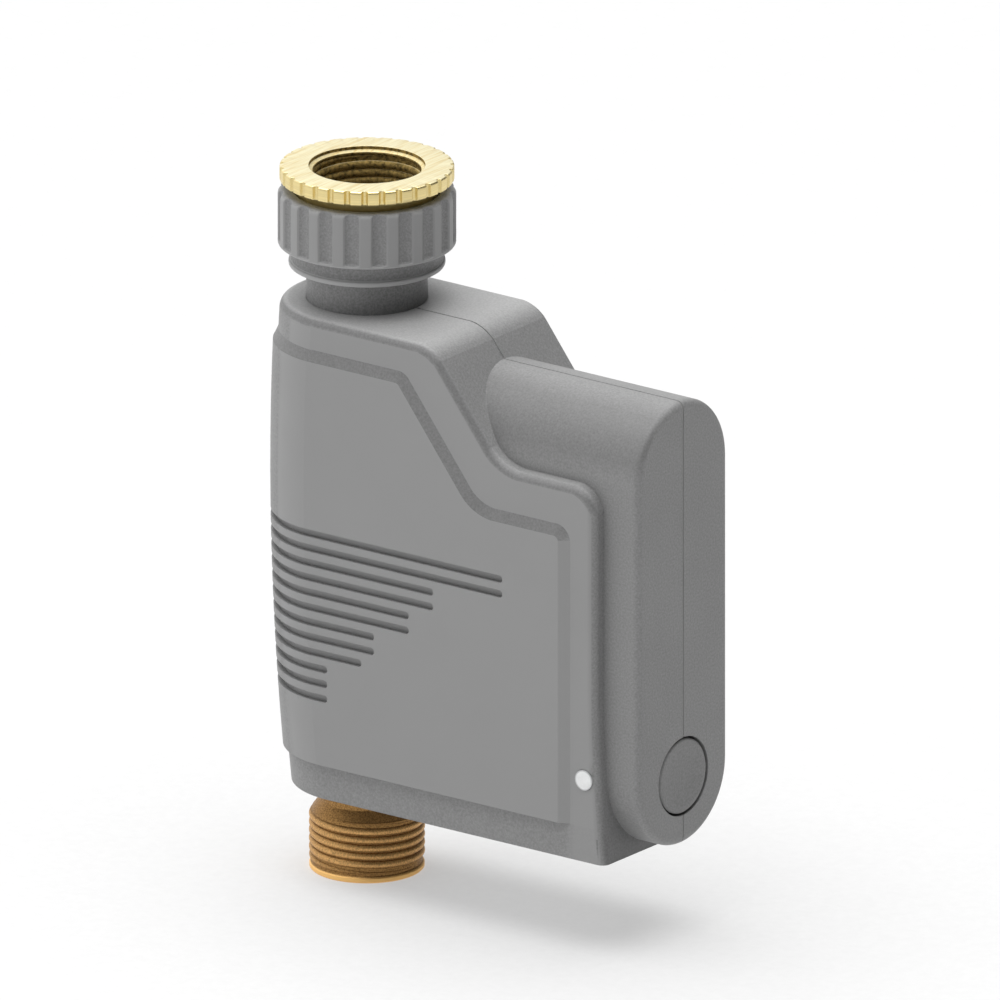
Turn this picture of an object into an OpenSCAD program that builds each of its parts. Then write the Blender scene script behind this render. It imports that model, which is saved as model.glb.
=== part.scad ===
/* [Inlet coupling] */
// Radius of the brass adapter's notched flange
flange_r = 19.9; // [18.5:0.1:21]
// Thickness of the brass adapter's flange
flange_t = 3.3; // [2.5:0.1:4.5]
// Notches round the brass flange
flange_notches = 31; // [20:1:36]
// Width of a notch
notch_w = 1.3; // [0.6:0.1:1.8]
// Depth of a notch
notch_depth = 0.9; // [0.4:0.1:1.2]
// Wall radius of the tap thread, three-quarter inch pipe, at its crests
inlet_thread_r = 12.06; // [11.5:0.01:12.3]
// Length of the tap thread
inlet_thread_len = 10.5; // [8:0.5:12]
// Lead-in above the tap thread
inlet_chamfer = 1.1; // [0.6:0.1:1.4]
// Collar of the adapter that shows between the flange and the nut
adapter_reveal = 2.2; // [1:0.1:4]
// Radius of the one-inch thread between the adapter and the nut
nut_thread_r = 16.6; // [16.2:0.1:16.8]
// Radius of the swivel nut over its grip ridges
nut_r = 20.3; // [19.5:0.1:22]
// Height of the fluted grip
nut_grip_h = 12.9; // [10:0.1:16]
// Flutes round the grip
nut_flutes = 20; // [12:1:24]
// Radius of the plain skirt under the grip
nut_skirt_r = 17.85; // [17.6:0.05:18.6]
// Height of the plain skirt
nut_skirt_h = 5.2; // [4.5:0.1:7]
// Thickness of the nut's inner shelf that pulls on the neck
nut_shelf_t = 3; // [2:0.1:4]
// Thickness of the flat sealing washers
washer_t = 2; // [1.5:0.1:2.5]

/* [Water way] */
// Radius of the neck below the nut
neck_r = 13.85; // [13.2:0.05:14.4]
// Thickness of the neck's top flange
neck_flange_t = 2.7; // [2:0.1:4]
// Length of neck that shows between the nut and the housing
neck_reveal = 7.9; // [5:0.1:14]
// Radius of the bore through the neck
neck_bore_r = 9; // [7.8:0.1:9.3]
// Depth of the ball's centre below the top of the housing
ball_drop = 70.6; // [68:0.2:73]
// Radius of the ball
ball_r = 11; // [10.6:0.1:11.2]
// Radius of the hole through the ball
ball_bore_r = 7; // [5.5:0.1:7.3]
// Radius of the valve stem
stem_r = 3.5; // [3:0.1:3.8]
// Radius of the outlet thread over its crests, three-quarter inch pipe
outlet_thread_r = 13.22; // [13:0.01:13.4]
// Length of the outlet thread
outlet_thread_len = 14.2; // [12:0.1:20]
// Cone between the outlet thread and its neck
outlet_cone = 2; // [1.5:0.1:2.4]
// Radius of the outlet's narrow neck
outlet_neck_r = 10.8; // [10.2:0.1:11]
// Length of the narrow neck that shows under the housing
outlet_neck_len = 6; // [3:0.1:10]
// Radius of the outlet's bore
outlet_bore_r = 8.5; // [7.5:0.1:9]

/* [Housing] */
// Height of the housing
body_h = 114.4; // [112:0.2:120]
// Half the thickness of the housing, front to back
body_half = 20.8; // [20.4:0.1:21.6]
// Distance from the pipe axis to the housing's plain end
body_end_x = 80.2; // [79:0.2:82]
// Moulded wall thickness
wall = 2; // [1.8:0.1:2.1]
// Rounding of the housing's long edges
edge_r = 2; // [1:0.1:2.6]
// Radius of the slow curve of the housing's round end, seen from the front
barrel_r = 590; // [500:10:900]
// Depth below the top at which the round end stands out most
barrel_drop = 40; // [34:1:46]
// Where the sloping shoulder would meet the top if their corner was sharp
shoulder_x = 33.5; // [32:0.5:36]
// Steepness of the shoulder below the horizontal
shoulder_angle = 52; // [50:0.5:54]
// Drop from the top to the step beside the battery bay
step_drop = 25.1; // [23:0.1:27]
// Rounding between the top and the shoulder
top_corner_r = 10; // [6:0.5:12]
// Hollow rounding between the shoulder and the step
step_corner_r = 13; // [8:0.5:15]
// Rounding between the step and the plain end
end_corner_r = 7; // [4:0.5:8]
// How far the plain end flares out at its foot
flare = 3; // [1:0.1:4]
// Height of the flared part
flare_h = 42.8; // [30:0.2:50]

/* [Raised panel] */
// How far the panel stands out of the housing
panel_rise = 1.15; // [1:0.05:2]
// Width of the panel's sloping border
panel_bevel = 2.6; // [2:0.1:3]
// Distance from the housing's top to the panel
panel_top_gap = 7.3; // [5:0.1:9]
// Distance from the shoulder to the panel
panel_shoulder_gap = 10.1; // [8:0.1:11]
// Distance from the step to the panel
panel_step_gap = 9.7; // [8:0.1:10]
// Distance from the plain end to the panel
panel_end_gap = 6.8; // [6:0.1:7.4]
// Distance from the housing's foot to the panel's sharp lower edge
panel_foot_gap = 8.3; // [6:0.1:10]
// Rounding between the panel's top and shoulder
panel_top_corner_r = 4.5; // [4:0.5:12]
// Hollow rounding between the panel's shoulder and step
panel_step_corner_r = 10; // [6:0.5:15]
// Rounding between the panel's step and end
panel_end_corner_r = 4; // [4:0.5:8]
// Grooves across the panel
grooves = 12; // [4:1:12]
// Width of a groove
groove_w = 1.75; // [0.8:0.05:2]
// Depth of a groove
groove_depth = 1.2; // [0.4:0.05:1.4]
// Distance from groove to groove
groove_pitch = 3.54; // [3:0.02:3.6]
// Depth of the first groove below the housing's top
groove_drop = 51; // [46:0.2:54]

/* [Battery bay and controls] */
// Half the thickness of the battery bay
bay_r = 17; // [16.8:0.1:17.4]
// How far the bay stands out past the housing's plain end
bay_reach = 9.8; // [9.6:0.1:12.8]
// Drop from the housing's top to the bay's top
bay_drop = 7.1; // [6:0.1:9]
// Height of the battery bay's underside above the housing's foot
bay_lift = 1.2; // [0.6:0.1:3]
// Rounding of the bay's end face
bay_edge_r = 1.8; // [0.6:0.1:2]
// Radius of the push button
button_r = 8.8; // [7:0.1:9.4]
// Gap round the push button
button_gap = 0.55; // [0.3:0.05:0.6]
// Travel of the push button
button_travel = 0.6; // [0.3:0.05:0.6]
// Depth of the button's dish
button_dish = 0.6; // [0.2:0.1:1]
// Height of the button's centre above the housing's foot
button_lift = 17.5; // [16.5:0.1:19]
// Radius of the light pipe's face
light_r = 2.4; // [1.8:0.1:2.6]
// Distance from the plain end to the light pipe's centre
light_in = 2.8; // [2.7:0.1:3.4]
// Height of the light pipe above the housing's foot
light_lift = 19.6; // [17:0.2:22]
// Width of the battery door
door_w = 35.8; // [35.4:0.2:36.4]
// Length of a battery cell over its tip
cell_len = 50.5; // [49.5:0.1:51]
// Rounding of the battery door's corners
door_corner_r = 4; // [3:0.5:6]
// Thickness of the circuit board
board_t = 1.6; // [1:0.1:2]

/* [Gear train] */
// Teeth of the output gear on the valve stem
output_teeth = 34; // [33:1:35]
// Teeth of every small gear
pinion_teeth = 10; // [10:1:11]
// Teeth of the first idler's large gear
idler_1_teeth = 36; // [34:1:37]
// Teeth of the second idler's large gear
idler_2_teeth = 30; // [28:1:31]
// Tooth module of the output stage
output_module = 0.8; // [0.78:0.01:0.82]
// Tooth module of the middle stage
middle_module = 0.6; // [0.58:0.01:0.62]
// Tooth module of the motor stage
motor_module = 0.5; // [0.48:0.01:0.52]
// Radius of the idlers' axle pins
pin_r = 1; // [0.8:0.05:1.2]

/* [Hidden] */
$fn = 64;

// Clearances: a fixed fit, a shaft that turns, parts that pass, and a cut's overshoot
fit_gap = 0.05;
run_gap = 0.06;
pass_gap = 0.3;
cut = 1;

// Levels, down from the mouth of the tap thread
flange_top = inlet_chamfer;
flange_bottom = flange_top - flange_t;
nut_top = flange_bottom - adapter_reveal;
grip_bottom = nut_top - nut_grip_h;
nut_bottom = grip_bottom - nut_skirt_h;
shelf_top = nut_bottom + nut_shelf_t;
neck_top = shelf_top + pass_gap + neck_flange_t;
adapter_bottom = neck_top + washer_t;
body_top = nut_bottom - neck_reveal;
body_foot = body_top - body_h;
cone_top = body_foot - outlet_neck_len;
thread_top = cone_top - outlet_cone;
outlet_end = thread_top - outlet_thread_len;

// Valve
ball_z = body_top - ball_drop;
cavity_r = ball_r + 0.9;
seat_reach = ball_r - 0.5;
seat_depth = 4;
neck_flange_r = nut_thread_r - 0.7;
filter_r = neck_bore_r + 0.9;
filter_t = 1.2;
socket_r = 13.2;
spigot_rise = 16;
socket_rise = 30;
spigot_top = ball_z + spigot_rise;
socket_top = ball_z + socket_rise;
stem_face_x = 17.2;
nipple_top = ball_z - 17;
lower_body_r = 14;

// Housing outlines, each [top, shoulder offset, step, end x, top corner, step corner, end corner]
slope_normal = 90 - shoulder_angle;
body_outline = [body_top, 0, body_top - step_drop, body_end_x, top_corner_r, step_corner_r, end_corner_r];
panel_outline = [body_top - panel_top_gap, panel_shoulder_gap, body_top - step_drop - panel_step_gap,
    body_end_x - panel_end_gap, panel_top_corner_r, panel_step_corner_r, panel_end_corner_r];
panel_foot = body_foot + panel_foot_gap;
panel_face = body_half + panel_rise;
barrel_z = body_top - barrel_drop;
far_left = -body_half - 8;
flare_top = body_foot + flare_h;
flare_r = round((flare_h * flare_h + flare * flare) / (2 * flare) * 1000) / 1000;
band = 8;
border_sink = 1;
deep = 160;
crossing = 0.05;
graze = 0.01;
saddle_pitch = 8;
rib_t = 1.6;
reveal_w = 0.4;
reveal_depth = 0.35;
flare_steps = 8;
flare_turn = 12;
bay_top = body_top - bay_drop;
bay_foot = body_foot + bay_lift;
bay_start_x = 37;
bay_end_x = body_end_x + bay_reach;

// Right-hand ends of the grooves: the first pair reaches far, the rest step back
groove_ends = [55, 55, 35.3, 35.3, 28.4, 28.4, 18.5, 18.5, 14.9, 5.2, 5.2, 5.2];
rear_groove_end = 5.2;

// Gear train along the stem's axis, all axes along x
gear_backlash = 0.1;
gear_shift = 0.45;
pressure_angle = 20;
stage_1_x = 19.2;
stage_1_t = 4;
stage_2_x = 24;
stage_2_t = 2.5;
stage_3_x = 27.2;
stage_3_t = 2;
cover_x = 30;
plate_t = 1.6;
idler_1_z = ball_z + output_module * (output_teeth + pinion_teeth) / 2;
idler_2_z = idler_1_z + middle_module * (idler_1_teeth + pinion_teeth) / 2;
motor_z = idler_2_z + motor_module * (idler_2_teeth + pinion_teeth) / 2;
box_r = output_module * (output_teeth / 2 + 1) + 2.2;
box_top_z = motor_z - 11;
long_screw_y = 13.6;
long_screw_z = ball_z + 19;
ear_z = ball_z - box_r - 2.2;
long_screw_start = 9.5;
ear_screw_start = 12.5;
motor_x = cover_x + plate_t;
motor_len = 16;
motor_r = 6;
motor_half = 5;

// Battery bay: two cells face the front and two the back of one cassette
cell_r = 7.2;
cell_x = 7.4;
cell_y = 7.75;
contact_t = 0.25;
cassette_half = 15;
cassette_plate = 2;
cassette_h = cell_len + 2 * (contact_t + cassette_plate);
cassette_play = 0.25;
cassette_side_play = 0.4;
door_t = 1.8;
door_ledge = 2;
door_screw_land = 4;
door_margin = 1.3;
door_gasket_t = 0.5;
door_lip_t = 1.2;
pocket_t = 1.4;
pocket_corner_r = 0.8;
opening_w = door_w - 2 * door_ledge;
opening_h = cassette_h + 2 * cassette_play;
door_h = opening_h + 2 * door_ledge + door_screw_land;
cassette_w = opening_w - 2 * cassette_side_play;
door_x = panel_outline[3] - panel_bevel - door_margin - door_w / 2;
door_top = panel_outline[2] - panel_bevel - door_margin;
door_z = door_top - door_h / 2;
opening_z = door_top - door_ledge - opening_h / 2;
door_screw_z = door_top - door_h + 3.1;
door_ledge_y = panel_face - door_t - door_gasket_t;

// Board and controls
board_in = 1.8;
board_x = body_end_x - board_in;
board_r = 12.5;
board_post_y = -7;
board_post_r = 2.5;
board_screw_r = 1.1;
board_screw_len = 5;
switch_w = 6;
switch_h = 3.4;
plunger_r = 1.7;
led_w = 1.6;
radio_size = [1.6, 16, 20];
radio_y = -8;
radio_lift = 14;
connector_size = [4.5, 7.5, 6];
connector_wall = 0.8;
connector_y = 1;
connector_lift = [-8, 2];
button_z = body_foot + button_lift;
button_collar = 4;
button_flange = 1.1;
button_edge = 0.4;
button_foot_t = 0.2;
button_back = bay_end_x - button_collar - pass_gap - button_flange;
plunger_end = button_back - button_foot_t - button_travel - 2 * fit_gap;
light_x = body_end_x - light_in;
light_z = body_foot + light_lift;
light_rod_r = 1.4;

// Screws
screw_r = 1.5;
screw_head_r = 2.7;
screw_head_h = 2;
boss_r = 3.2;
head_boss_r = 4.1;
screw_seat_y = 6;
screw_tip_y = -10;
small_screw_r = 1;
small_head_r = 1.9;
small_head_h = 1.3;
screw_places = [
    [21.5, body_top - 7.6], [body_end_x - 8.2, body_top - step_drop - 7.5],
    [body_end_x - 7.7, body_foot + 7.3], [22, body_foot + 7.8]
];
board_post_z = [bay_top - bay_r + 2, bay_top - bay_r - 52];
gasket_w = 0.8;
gasket_t = 0.7;
gasket_in = 0.8;
outlet_seal_z = [nipple_top - 4, nipple_top - 9];
shaft_r = 0.75;

dark_grey = "#6b6b6b";
shell_grey = "#8c8c8c";
brass = "#d9c88c";
bronze = "#aa8457";
black_rubber = "#222222";
cell_jacket = "#c8a040";
board_green = "#2f6b45";
clear_light = "#ffffff";
steel = "#c0c4c8";
ptfe = "#f2f2ee";
acetal = "#e8e4d8";

// Shared shapes

module ring(outer, inner, height) {
    difference() {
        cylinder(r = outer, h = height);
        translate([0, 0, -cut]) cylinder(r = inner, h = height + 2 * cut);
    }
}

// Lays a drawing made in x and y into the upright plane and gives it a depth forward and back
module upright(front, back) {
    translate([0, back, 0]) rotate([90, 0, 0]) linear_extrude(back - front) children();
}

// Lays a drawing into the plane across x, its x along y and its y along z
module across(x0, thick) {
    translate([x0, 0, 0]) rotate([90, 0, 90]) linear_extrude(thick) children();
}

module rod_y(x, z, radius, y0, y1) {
    translate([x, y1, z]) rotate([90, 0, 0]) cylinder(r = radius, h = y1 - y0);
}

module rod_x(y, z, radius, x0, x1) {
    translate([x0, y, z]) rotate([0, 90, 0]) cylinder(r = radius, h = x1 - x0);
}

module rounded_rect(w, h, r) {
    square([w - 2 * r, h], center = true);
    square([w, h - 2 * r], center = true);
    for (sx = [-1, 1], sy = [-1, 1]) {
        translate([sx * (w / 2 - r), sy * (h / 2 - r)]) circle(r);
    }
}

module stadium(r, z0, z1) {
    translate([0, z0]) circle(r);
    translate([0, z1]) circle(r);
    translate([-r, z0]) square([2 * r, z1 - z0]);
}

// Housing outline: corner centres of the side view

function unit(a) = [cos(a), sin(a)];
function shoulder_shift(o) = o[1] / cos(slope_normal);
function top_centre(o) = [
    shoulder_x - shoulder_shift(o) - (o[0] - body_top) * tan(slope_normal)
        - o[4] * (1 - sin(slope_normal)) / cos(slope_normal),
    o[0] - o[4]
];
function step_centre(o) = [
    shoulder_x - shoulder_shift(o)
        + (o[5] - (o[2] + o[5] - body_top) * sin(slope_normal)) / cos(slope_normal),
    o[2] + o[5]
];
function step_vertex(o, inset) = [
    shoulder_x - shoulder_shift(o) - inset / cos(slope_normal)
        - (o[2] - inset - body_top) * tan(slope_normal),
    o[2] - inset
];
function end_centre(o) = [o[3] - o[6], o[2] - o[6]];

// Points of the flared end, from its foot up
function flare_points(end_x, foot) = [
    for (i = [0 : flare_steps]) let (z = foot + (flare_top - foot) * i / flare_steps)
        [end_x + flare_r - sqrt(flare_r * flare_r - (z - flare_top) * (z - flare_top)), z]
];

// A wedge with its tip at the centre of a rounded corner and its sides square to the two edges
module corner_wedge(centre, from, to) {
    reach = 24;
    mid = (from + to) / 2;
    polygon([centre, centre + reach * unit(from), centre + reach * 1.2 * unit(mid), centre + reach * unit(to)]);
}

// Side view of the housing, drawn in by an inset, open to the left
module outline_shape(o, inset, foot) {
    tc = top_centre(o);
    sc = step_centre(o);
    ec = end_centre(o);
    end_x = o[3] - inset;
    slope_top = [
        shoulder_x - shoulder_shift(o) - inset / cos(slope_normal)
            - (o[0] - inset - body_top) * tan(slope_normal),
        o[0] - inset
    ];
    difference() {
        polygon(concat(
            flare_points(end_x, foot),
            [[end_x, o[2] - inset], step_vertex(o, inset), slope_top],
            [[far_left, o[0] - inset], [far_left, foot]]
        ));
        difference() {
            corner_wedge(tc, slope_normal, 90);
            translate(tc) circle(o[4] - inset + crossing);
        }
        difference() {
            corner_wedge(ec, 0, 90);
            translate(ec) circle(o[6] - inset + crossing);
        }
    }
    difference() {
        intersection() {
            corner_wedge(sc, slope_normal + 180, 270);
            translate(sc - [o[5] + inset + 4, o[5] + inset + 4]) square(o[5] + inset + 4);
        }
        translate(sc) circle(o[5] + inset + crossing);
    }
}

// A long block whose outer face passes through a point and faces an angle, with a given edge section
module side(p, facing) {
    translate([p.x, 0, p.y]) rotate([0, -facing, 0]) linear_extrude(400, center = true) children();
}

// Rounds the hollow corner between the shoulder and the step, with the edge section that is given
module hollow_corner(o) {
    sc = step_centre(o);
    intersection() {
        upright(-panel_face - cut, panel_face + cut) corner_wedge(sc, slope_normal + 180, 270);
        translate([sc.x, 0, sc.y]) rotate([90, 0, 0])
            rotate_extrude() translate([o[5] + crossing, 0]) mirror([1, 0]) intersection() {
                children();
                translate([-band, -panel_face - cut]) square([band, 2 * (panel_face + cut)]);
            }
    }
}

// The housing's side view with a rounded edge along its top, shoulder, step and flared end
module edged_block(o) {
    slab = 2 * (body_half + cut);
    difference() {
        union() {
            intersection() {
                side([0, o[0]], 90) rounded_edge(deep);
                side(top_centre(o) + o[4] * unit(slope_normal), slope_normal) rounded_edge(deep);
                translate([far_left, -slab / 2, o[2] - 10]) cube([deep, slab, step_drop + 20]);
            }
            intersection() {
                side([0, o[2]], 90) rounded_edge(deep);
                side([o[3], 0], 0) rounded_edge(deep);
                translate([far_left, -slab / 2, flare_top]) cube([deep, slab, body_h]);
            }
            translate([o[3] + flare_r, 0, flare_top]) rotate([90, 0, 0]) rotate(180)
                rotate_extrude(angle = flare_turn) translate([flare_r, 0]) mirror([1, 0]) rounded_edge(deep);
            hollow_corner(o) rounded_edge(deep);
        }
        corner_loss(top_centre(o), o[4], slope_normal, 90, 2 * cut) rounded_corner(o[4]);
        corner_loss(end_centre(o), o[6], 0, 90, 2 * cut) rounded_corner(o[6]);
        translate([far_left, -slab / 2, body_foot - deep]) cube([2 * deep, slab, deep]);
        rear_taper(0);
    }
}

// Rounded edge section of the housing: the outline at x = 0, the material behind it
module rounded_edge(reach) {
    translate([-reach, -body_half]) square([reach - edge_r, 2 * body_half]);
    translate([-reach, -body_half + edge_r]) square([reach, 2 * (body_half - edge_r)]);
    for (s = [-1, 1]) translate([-edge_r, s * (body_half - edge_r)]) circle(edge_r);
}

// The same section for a corner of radius r, let through beyond the housing's faces
module rounded_corner(r) {
    half = body_half + graze;
    translate([-r - crossing, -half - 4 * cut]) square([r + crossing - edge_r, 2 * half + 8 * cut]);
    translate([-r - crossing, -half + edge_r]) square([r + crossing, 2 * (half - edge_r)]);
    for (s = [-1, 1]) translate([-edge_r, s * (half - edge_r)]) circle(edge_r);
}

// Draws the flared end in towards the back of the housing
module rear_taper(inset) {
    x0 = body_end_x + flare + 0.5 - inset;
    x1 = body_end_x + 0.3 - inset;
    translate([0, 0, body_foot - cut]) linear_extrude(flare_h + 2 * cut) polygon([
        [x0, 0], [x0 + 3 * flare, 0], [x0 + 3 * flare, body_half + 2 * cut],
        [x1 - (x0 - x1) * 2 * cut / body_half, body_half + 2 * cut]
    ]);
}

// Section of the raised panel's sloping border, from the middle of the panel outward: the slope runs
// on a little past the housing's face, so the two meet cleanly
module bevelled_edge(from_x, reach) {
    k = panel_bevel / panel_rise;
    sink = border_sink / k;
    polygon([
        [from_x, -panel_face - reach], [-panel_bevel - reach * k, -panel_face - reach],
        [border_sink, -body_half + sink], [border_sink, body_half - sink],
        [-panel_bevel - reach * k, panel_face + reach], [from_x, panel_face + reach]
    ]);
}

// All that lies outside that border
module outside_edge() {
    difference() {
        translate([-band, -panel_face - cut]) square([60 + band, 2 * (panel_face + cut)]);
        bevelled_edge(-2 * band, 2 * cut);
    }
}

// What a rounded corner loses: all outside an edge section turned with radius r round c, between two angles
module corner_loss(c, r, from, to, over) {
    difference() {
        upright(-panel_face - over, panel_face + over) corner_wedge(c, from, to);
        translate([c.x, 0, c.y]) rotate([90, 0, 0]) rotate_extrude() intersection() {
            translate([r + crossing, 0]) children();
            translate([0, -deep]) square(2 * deep);
        }
    }
}

// The notch between the panel's shoulder and its step, with the hollow corner rounded
module panel_notch(o) {
    sc = step_centre(o);
    r = o[5] + crossing;
    difference() {
        intersection() {
            side(top_centre(o) + o[4] * unit(slope_normal), slope_normal) outside_edge();
            side([0, o[2]], 90) outside_edge();
        }
        difference() {
            upright(-panel_face - 1.5 * cut, panel_face + 1.5 * cut) corner_wedge(sc, slope_normal + 180, 270);
            translate([sc.x, 0, sc.y]) rotate([90, 0, 0]) rotate_extrude() difference() {
                translate([0, -panel_face - 2 * cut]) square([r + 2 * band, 2 * (panel_face + 2 * cut)]);
                translate([r, 0]) mirror([1, 0]) bevelled_edge(-3 * band, 3 * cut);
            }
        }
    }
}

// A huge disc with a fully round rim: its rim is the housing's round end
module barrel(half) {
    translate([barrel_r, 0, barrel_z]) rotate([90, 0, 0]) rotate_extrude($fn = 360) {
        translate([barrel_r, 0]) circle(half, $fn = 64);
        translate([0, -half]) square([barrel_r, 2 * half]);
    }
}

function barrel_shift(z) = barrel_r - sqrt(barrel_r * barrel_r - (z - barrel_z) * (z - barrel_z));

// Rounds or bevels the top rim where it runs round the round end
module rim_cap(top, drop, half) {
    shift = barrel_shift(top - drop);
    translate([shift, 0, 0]) rotate_extrude() children();
    translate([shift, 0, 0]) rotate([90, 0, 90]) linear_extrude(deep) {
        children();
        mirror([1, 0]) children();
    }
    translate([far_left, -half - 2, body_foot]) cube([deep, 2 * half + 4, top - drop - body_foot]);
}

module body_block() {
    intersection() {
        edged_block(body_outline);
        barrel(body_half + crossing);
        rim_cap(body_top, edge_r, body_half) {
            translate([0, body_top - 2 * edge_r]) square([body_half, edge_r]);
            translate([0, body_top - 2 * edge_r]) square([body_half - edge_r, 2 * edge_r]);
            translate([body_half - edge_r, body_top - edge_r]) circle(edge_r);
        }
    }
}

module panel_block() {
    o = panel_outline;
    top = o[0];
    k = panel_bevel / panel_rise;
    intersection() {
        difference() {
            intersection() {
                side([0, top], 90) bevelled_edge(-deep, 0);
                side([o[3], 0], 0) bevelled_edge(-deep, 0);
                translate([far_left, -panel_face - cut, panel_foot])
                    cube([deep, 2 * (panel_face + cut), body_h]);
            }
            panel_notch(o);
            corner_loss(top_centre(o), o[4], slope_normal, 90, 0.1) bevelled_edge(-o[4] - crossing, 0.2);
            corner_loss(end_centre(o), o[6], 0, 90, 0.1) bevelled_edge(-o[6] - crossing, 0.2);
        }
        barrel(panel_face + crossing);
        rim_cap(top, panel_bevel, panel_face) {
            polygon([[0, top - 2 * panel_bevel], [panel_face, top - 2 * panel_bevel],
                [panel_face, top - panel_bevel], [body_half - border_sink / k, top + border_sink],
                [0, top + border_sink]]);
        }
    }
}

// Stadium-shaped battery bay along x, its end face rounded
module bay(radius, end_x, round) {
    z0 = bay_foot + bay_r;
    z1 = bay_top - bay_r;
    for (s = [0, 1]) {
        translate([0, 0, s == 0 ? z0 : z1]) rotate([0, 90, 0]) rotate([0, 0, s == 0 ? -90 : 90])
            rotate_extrude(angle = 180) bay_profile(radius, end_x, round);
    }
    translate([0, 0, z0]) linear_extrude(z1 - z0) {
        rotate(-90) bay_profile(radius, end_x, round);
        mirror([0, 1]) rotate(-90) bay_profile(radius, end_x, round);
    }
}

// Half section of the bay: x is the distance from its middle, y runs along the bay
module bay_profile(radius, end_x, round) {
    translate([0, bay_start_x]) square([radius - round, end_x - bay_start_x]);
    if (round > 0) {
        translate([0, bay_start_x]) square([radius, end_x - round - bay_start_x]);
        translate([radius - round, end_x - round]) circle(round);
    }
}

// Housing shells

module outer_form() {
    body_block();
    panel_block();
    bay(bay_r, bay_end_x, bay_edge_r);
}

module inner_form() {
    difference() {
        intersection() {
            upright(-body_half + wall, body_half - wall)
                outline_shape(body_outline, wall, body_foot + wall);
            barrel(body_half - wall + crossing);
        }
        rear_taper(wall);
    }
    bay(bay_r - wall, bay_end_x - wall, 0);
}

// Front or rear half of space
module half_space(back) {
    translate([far_left, back ? 0 : -deep, body_foot - band]) cube([deep, deep, body_h + 2 * band]);
}

// Slots of the panel's grooves, cut to an even depth round the round end
module groove_cuts(ends, back) {
    difference() {
        upright(back ? -cut : -panel_face - cut, back ? panel_face + cut : cut) {
            for (i = [0 : grooves - 1]) {
                z = body_top - groove_drop - i * groove_pitch;
                translate([far_left, z - groove_w / 2]) square([ends[i] - groove_w / 2 - far_left, groove_w]);
                translate([ends[i] - groove_w / 2, z]) circle(groove_w / 2);
            }
        }
        barrel(panel_face - groove_depth);
    }
}

// Wall round the battery pocket, from its outer edge inward
module pocket_wall(y0, y1) {
    upright(y0, y1) translate([door_x, opening_z]) difference() {
        rounded_rect(opening_w + 2 * pocket_t, opening_h + 2 * pocket_t, pocket_corner_r + pocket_t);
        rounded_rect(opening_w, opening_h, pocket_corner_r);
    }
}

// Collars round the neck and the button, before the housing is split
module collars() {
    translate([0, 0, body_top - 7]) cylinder(r = neck_r + 2.2, h = 6);
    rod_x(0, button_z, button_r + button_gap + 1.6, bay_end_x - button_collar, bay_end_x - wall / 2);
}

// Half-round saddles that hold the water way
module saddles(side_sign) {
    reach = body_half - wall / 2;
    upper_z = body_top - 22;
    near = 9;
    for (z = [upper_z, upper_z - saddle_pitch]) {
        intersection() {
            translate([-16, side_sign > 0 ? near : -reach, z]) cube([32, reach - near, rib_t]);
            translate([0, 0, z - cut]) cylinder(r = reach, h = rib_t + 2 * cut);
        }
    }
    for (z = [body_foot + saddle_pitch, body_foot + 2 * saddle_pitch]) {
        translate([-5, side_sign > 0 ? near : -reach, z]) cube([14, reach - near, rib_t]);
    }
}

// What both shells leave free: neck, outlet, seal groove and button
module shell_openings() {
    translate([0, 0, body_top - 12]) cylinder(r = neck_r + fit_gap, h = 20);
    translate([0, 0, body_top - 4.9]) ring(neck_r + 1.75, neck_r - cut, 1.8);
    translate([0, 0, body_foot - 5]) cylinder(r = outlet_neck_r + fit_gap, h = 12);
    rod_x(0, button_z, button_r + button_gap, bay_end_x - 8, bay_end_x + cut);
    translate([0, 0, body_foot + wall - cut]) cylinder(r = lower_body_r + fit_gap, h = 30);
    translate([0, 0, body_top - 40]) cylinder(r = 12 + fit_gap, h = 27);
}

module front_shell() {
    color(shell_grey) difference() {
        union() {
            difference() {
                intersection() {
                    outer_form();
                    half_space(false);
                }
                inner_form();
            }
            intersection() {
                collars();
                half_space(false);
            }
            saddles(-1);
            pocket_wall(-body_half + wall / 2, -10);
            for (z = [-1, 1]) {
                translate([door_x - 4, -body_half + wall / 2, opening_z + z * (cassette_h / 2 - 1) - rib_t / 2])
                    cube([8, body_half - wall / 2 - cassette_half, rib_t]);
            }
            for (s = screw_places) rod_y(s.x, s.y, boss_r, -body_half + wall / 2, 0);
            for (z = board_post_z) {
                rod_x(board_post_y, z, board_post_r, board_x + board_t, bay_end_x - wall / 2);
            }
        }
        shell_openings();
        groove_cuts(groove_ends, false);
        parting_groove();
        for (s = screw_places) rod_y(s.x, s.y, screw_r + fit_gap, screw_tip_y - 1, cut);
        for (z = board_post_z) {
            rod_x(board_post_y, z, board_screw_r + fit_gap, board_x, board_x + board_t + board_screw_len + cut);
        }
        rod_y(light_x, light_z, light_r + fit_gap, -body_half - cut, -body_half + wall);
        rod_y(light_x, light_z, light_rod_r + fit_gap, -body_half, -bay_r + wall + cut);
    }
}

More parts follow.
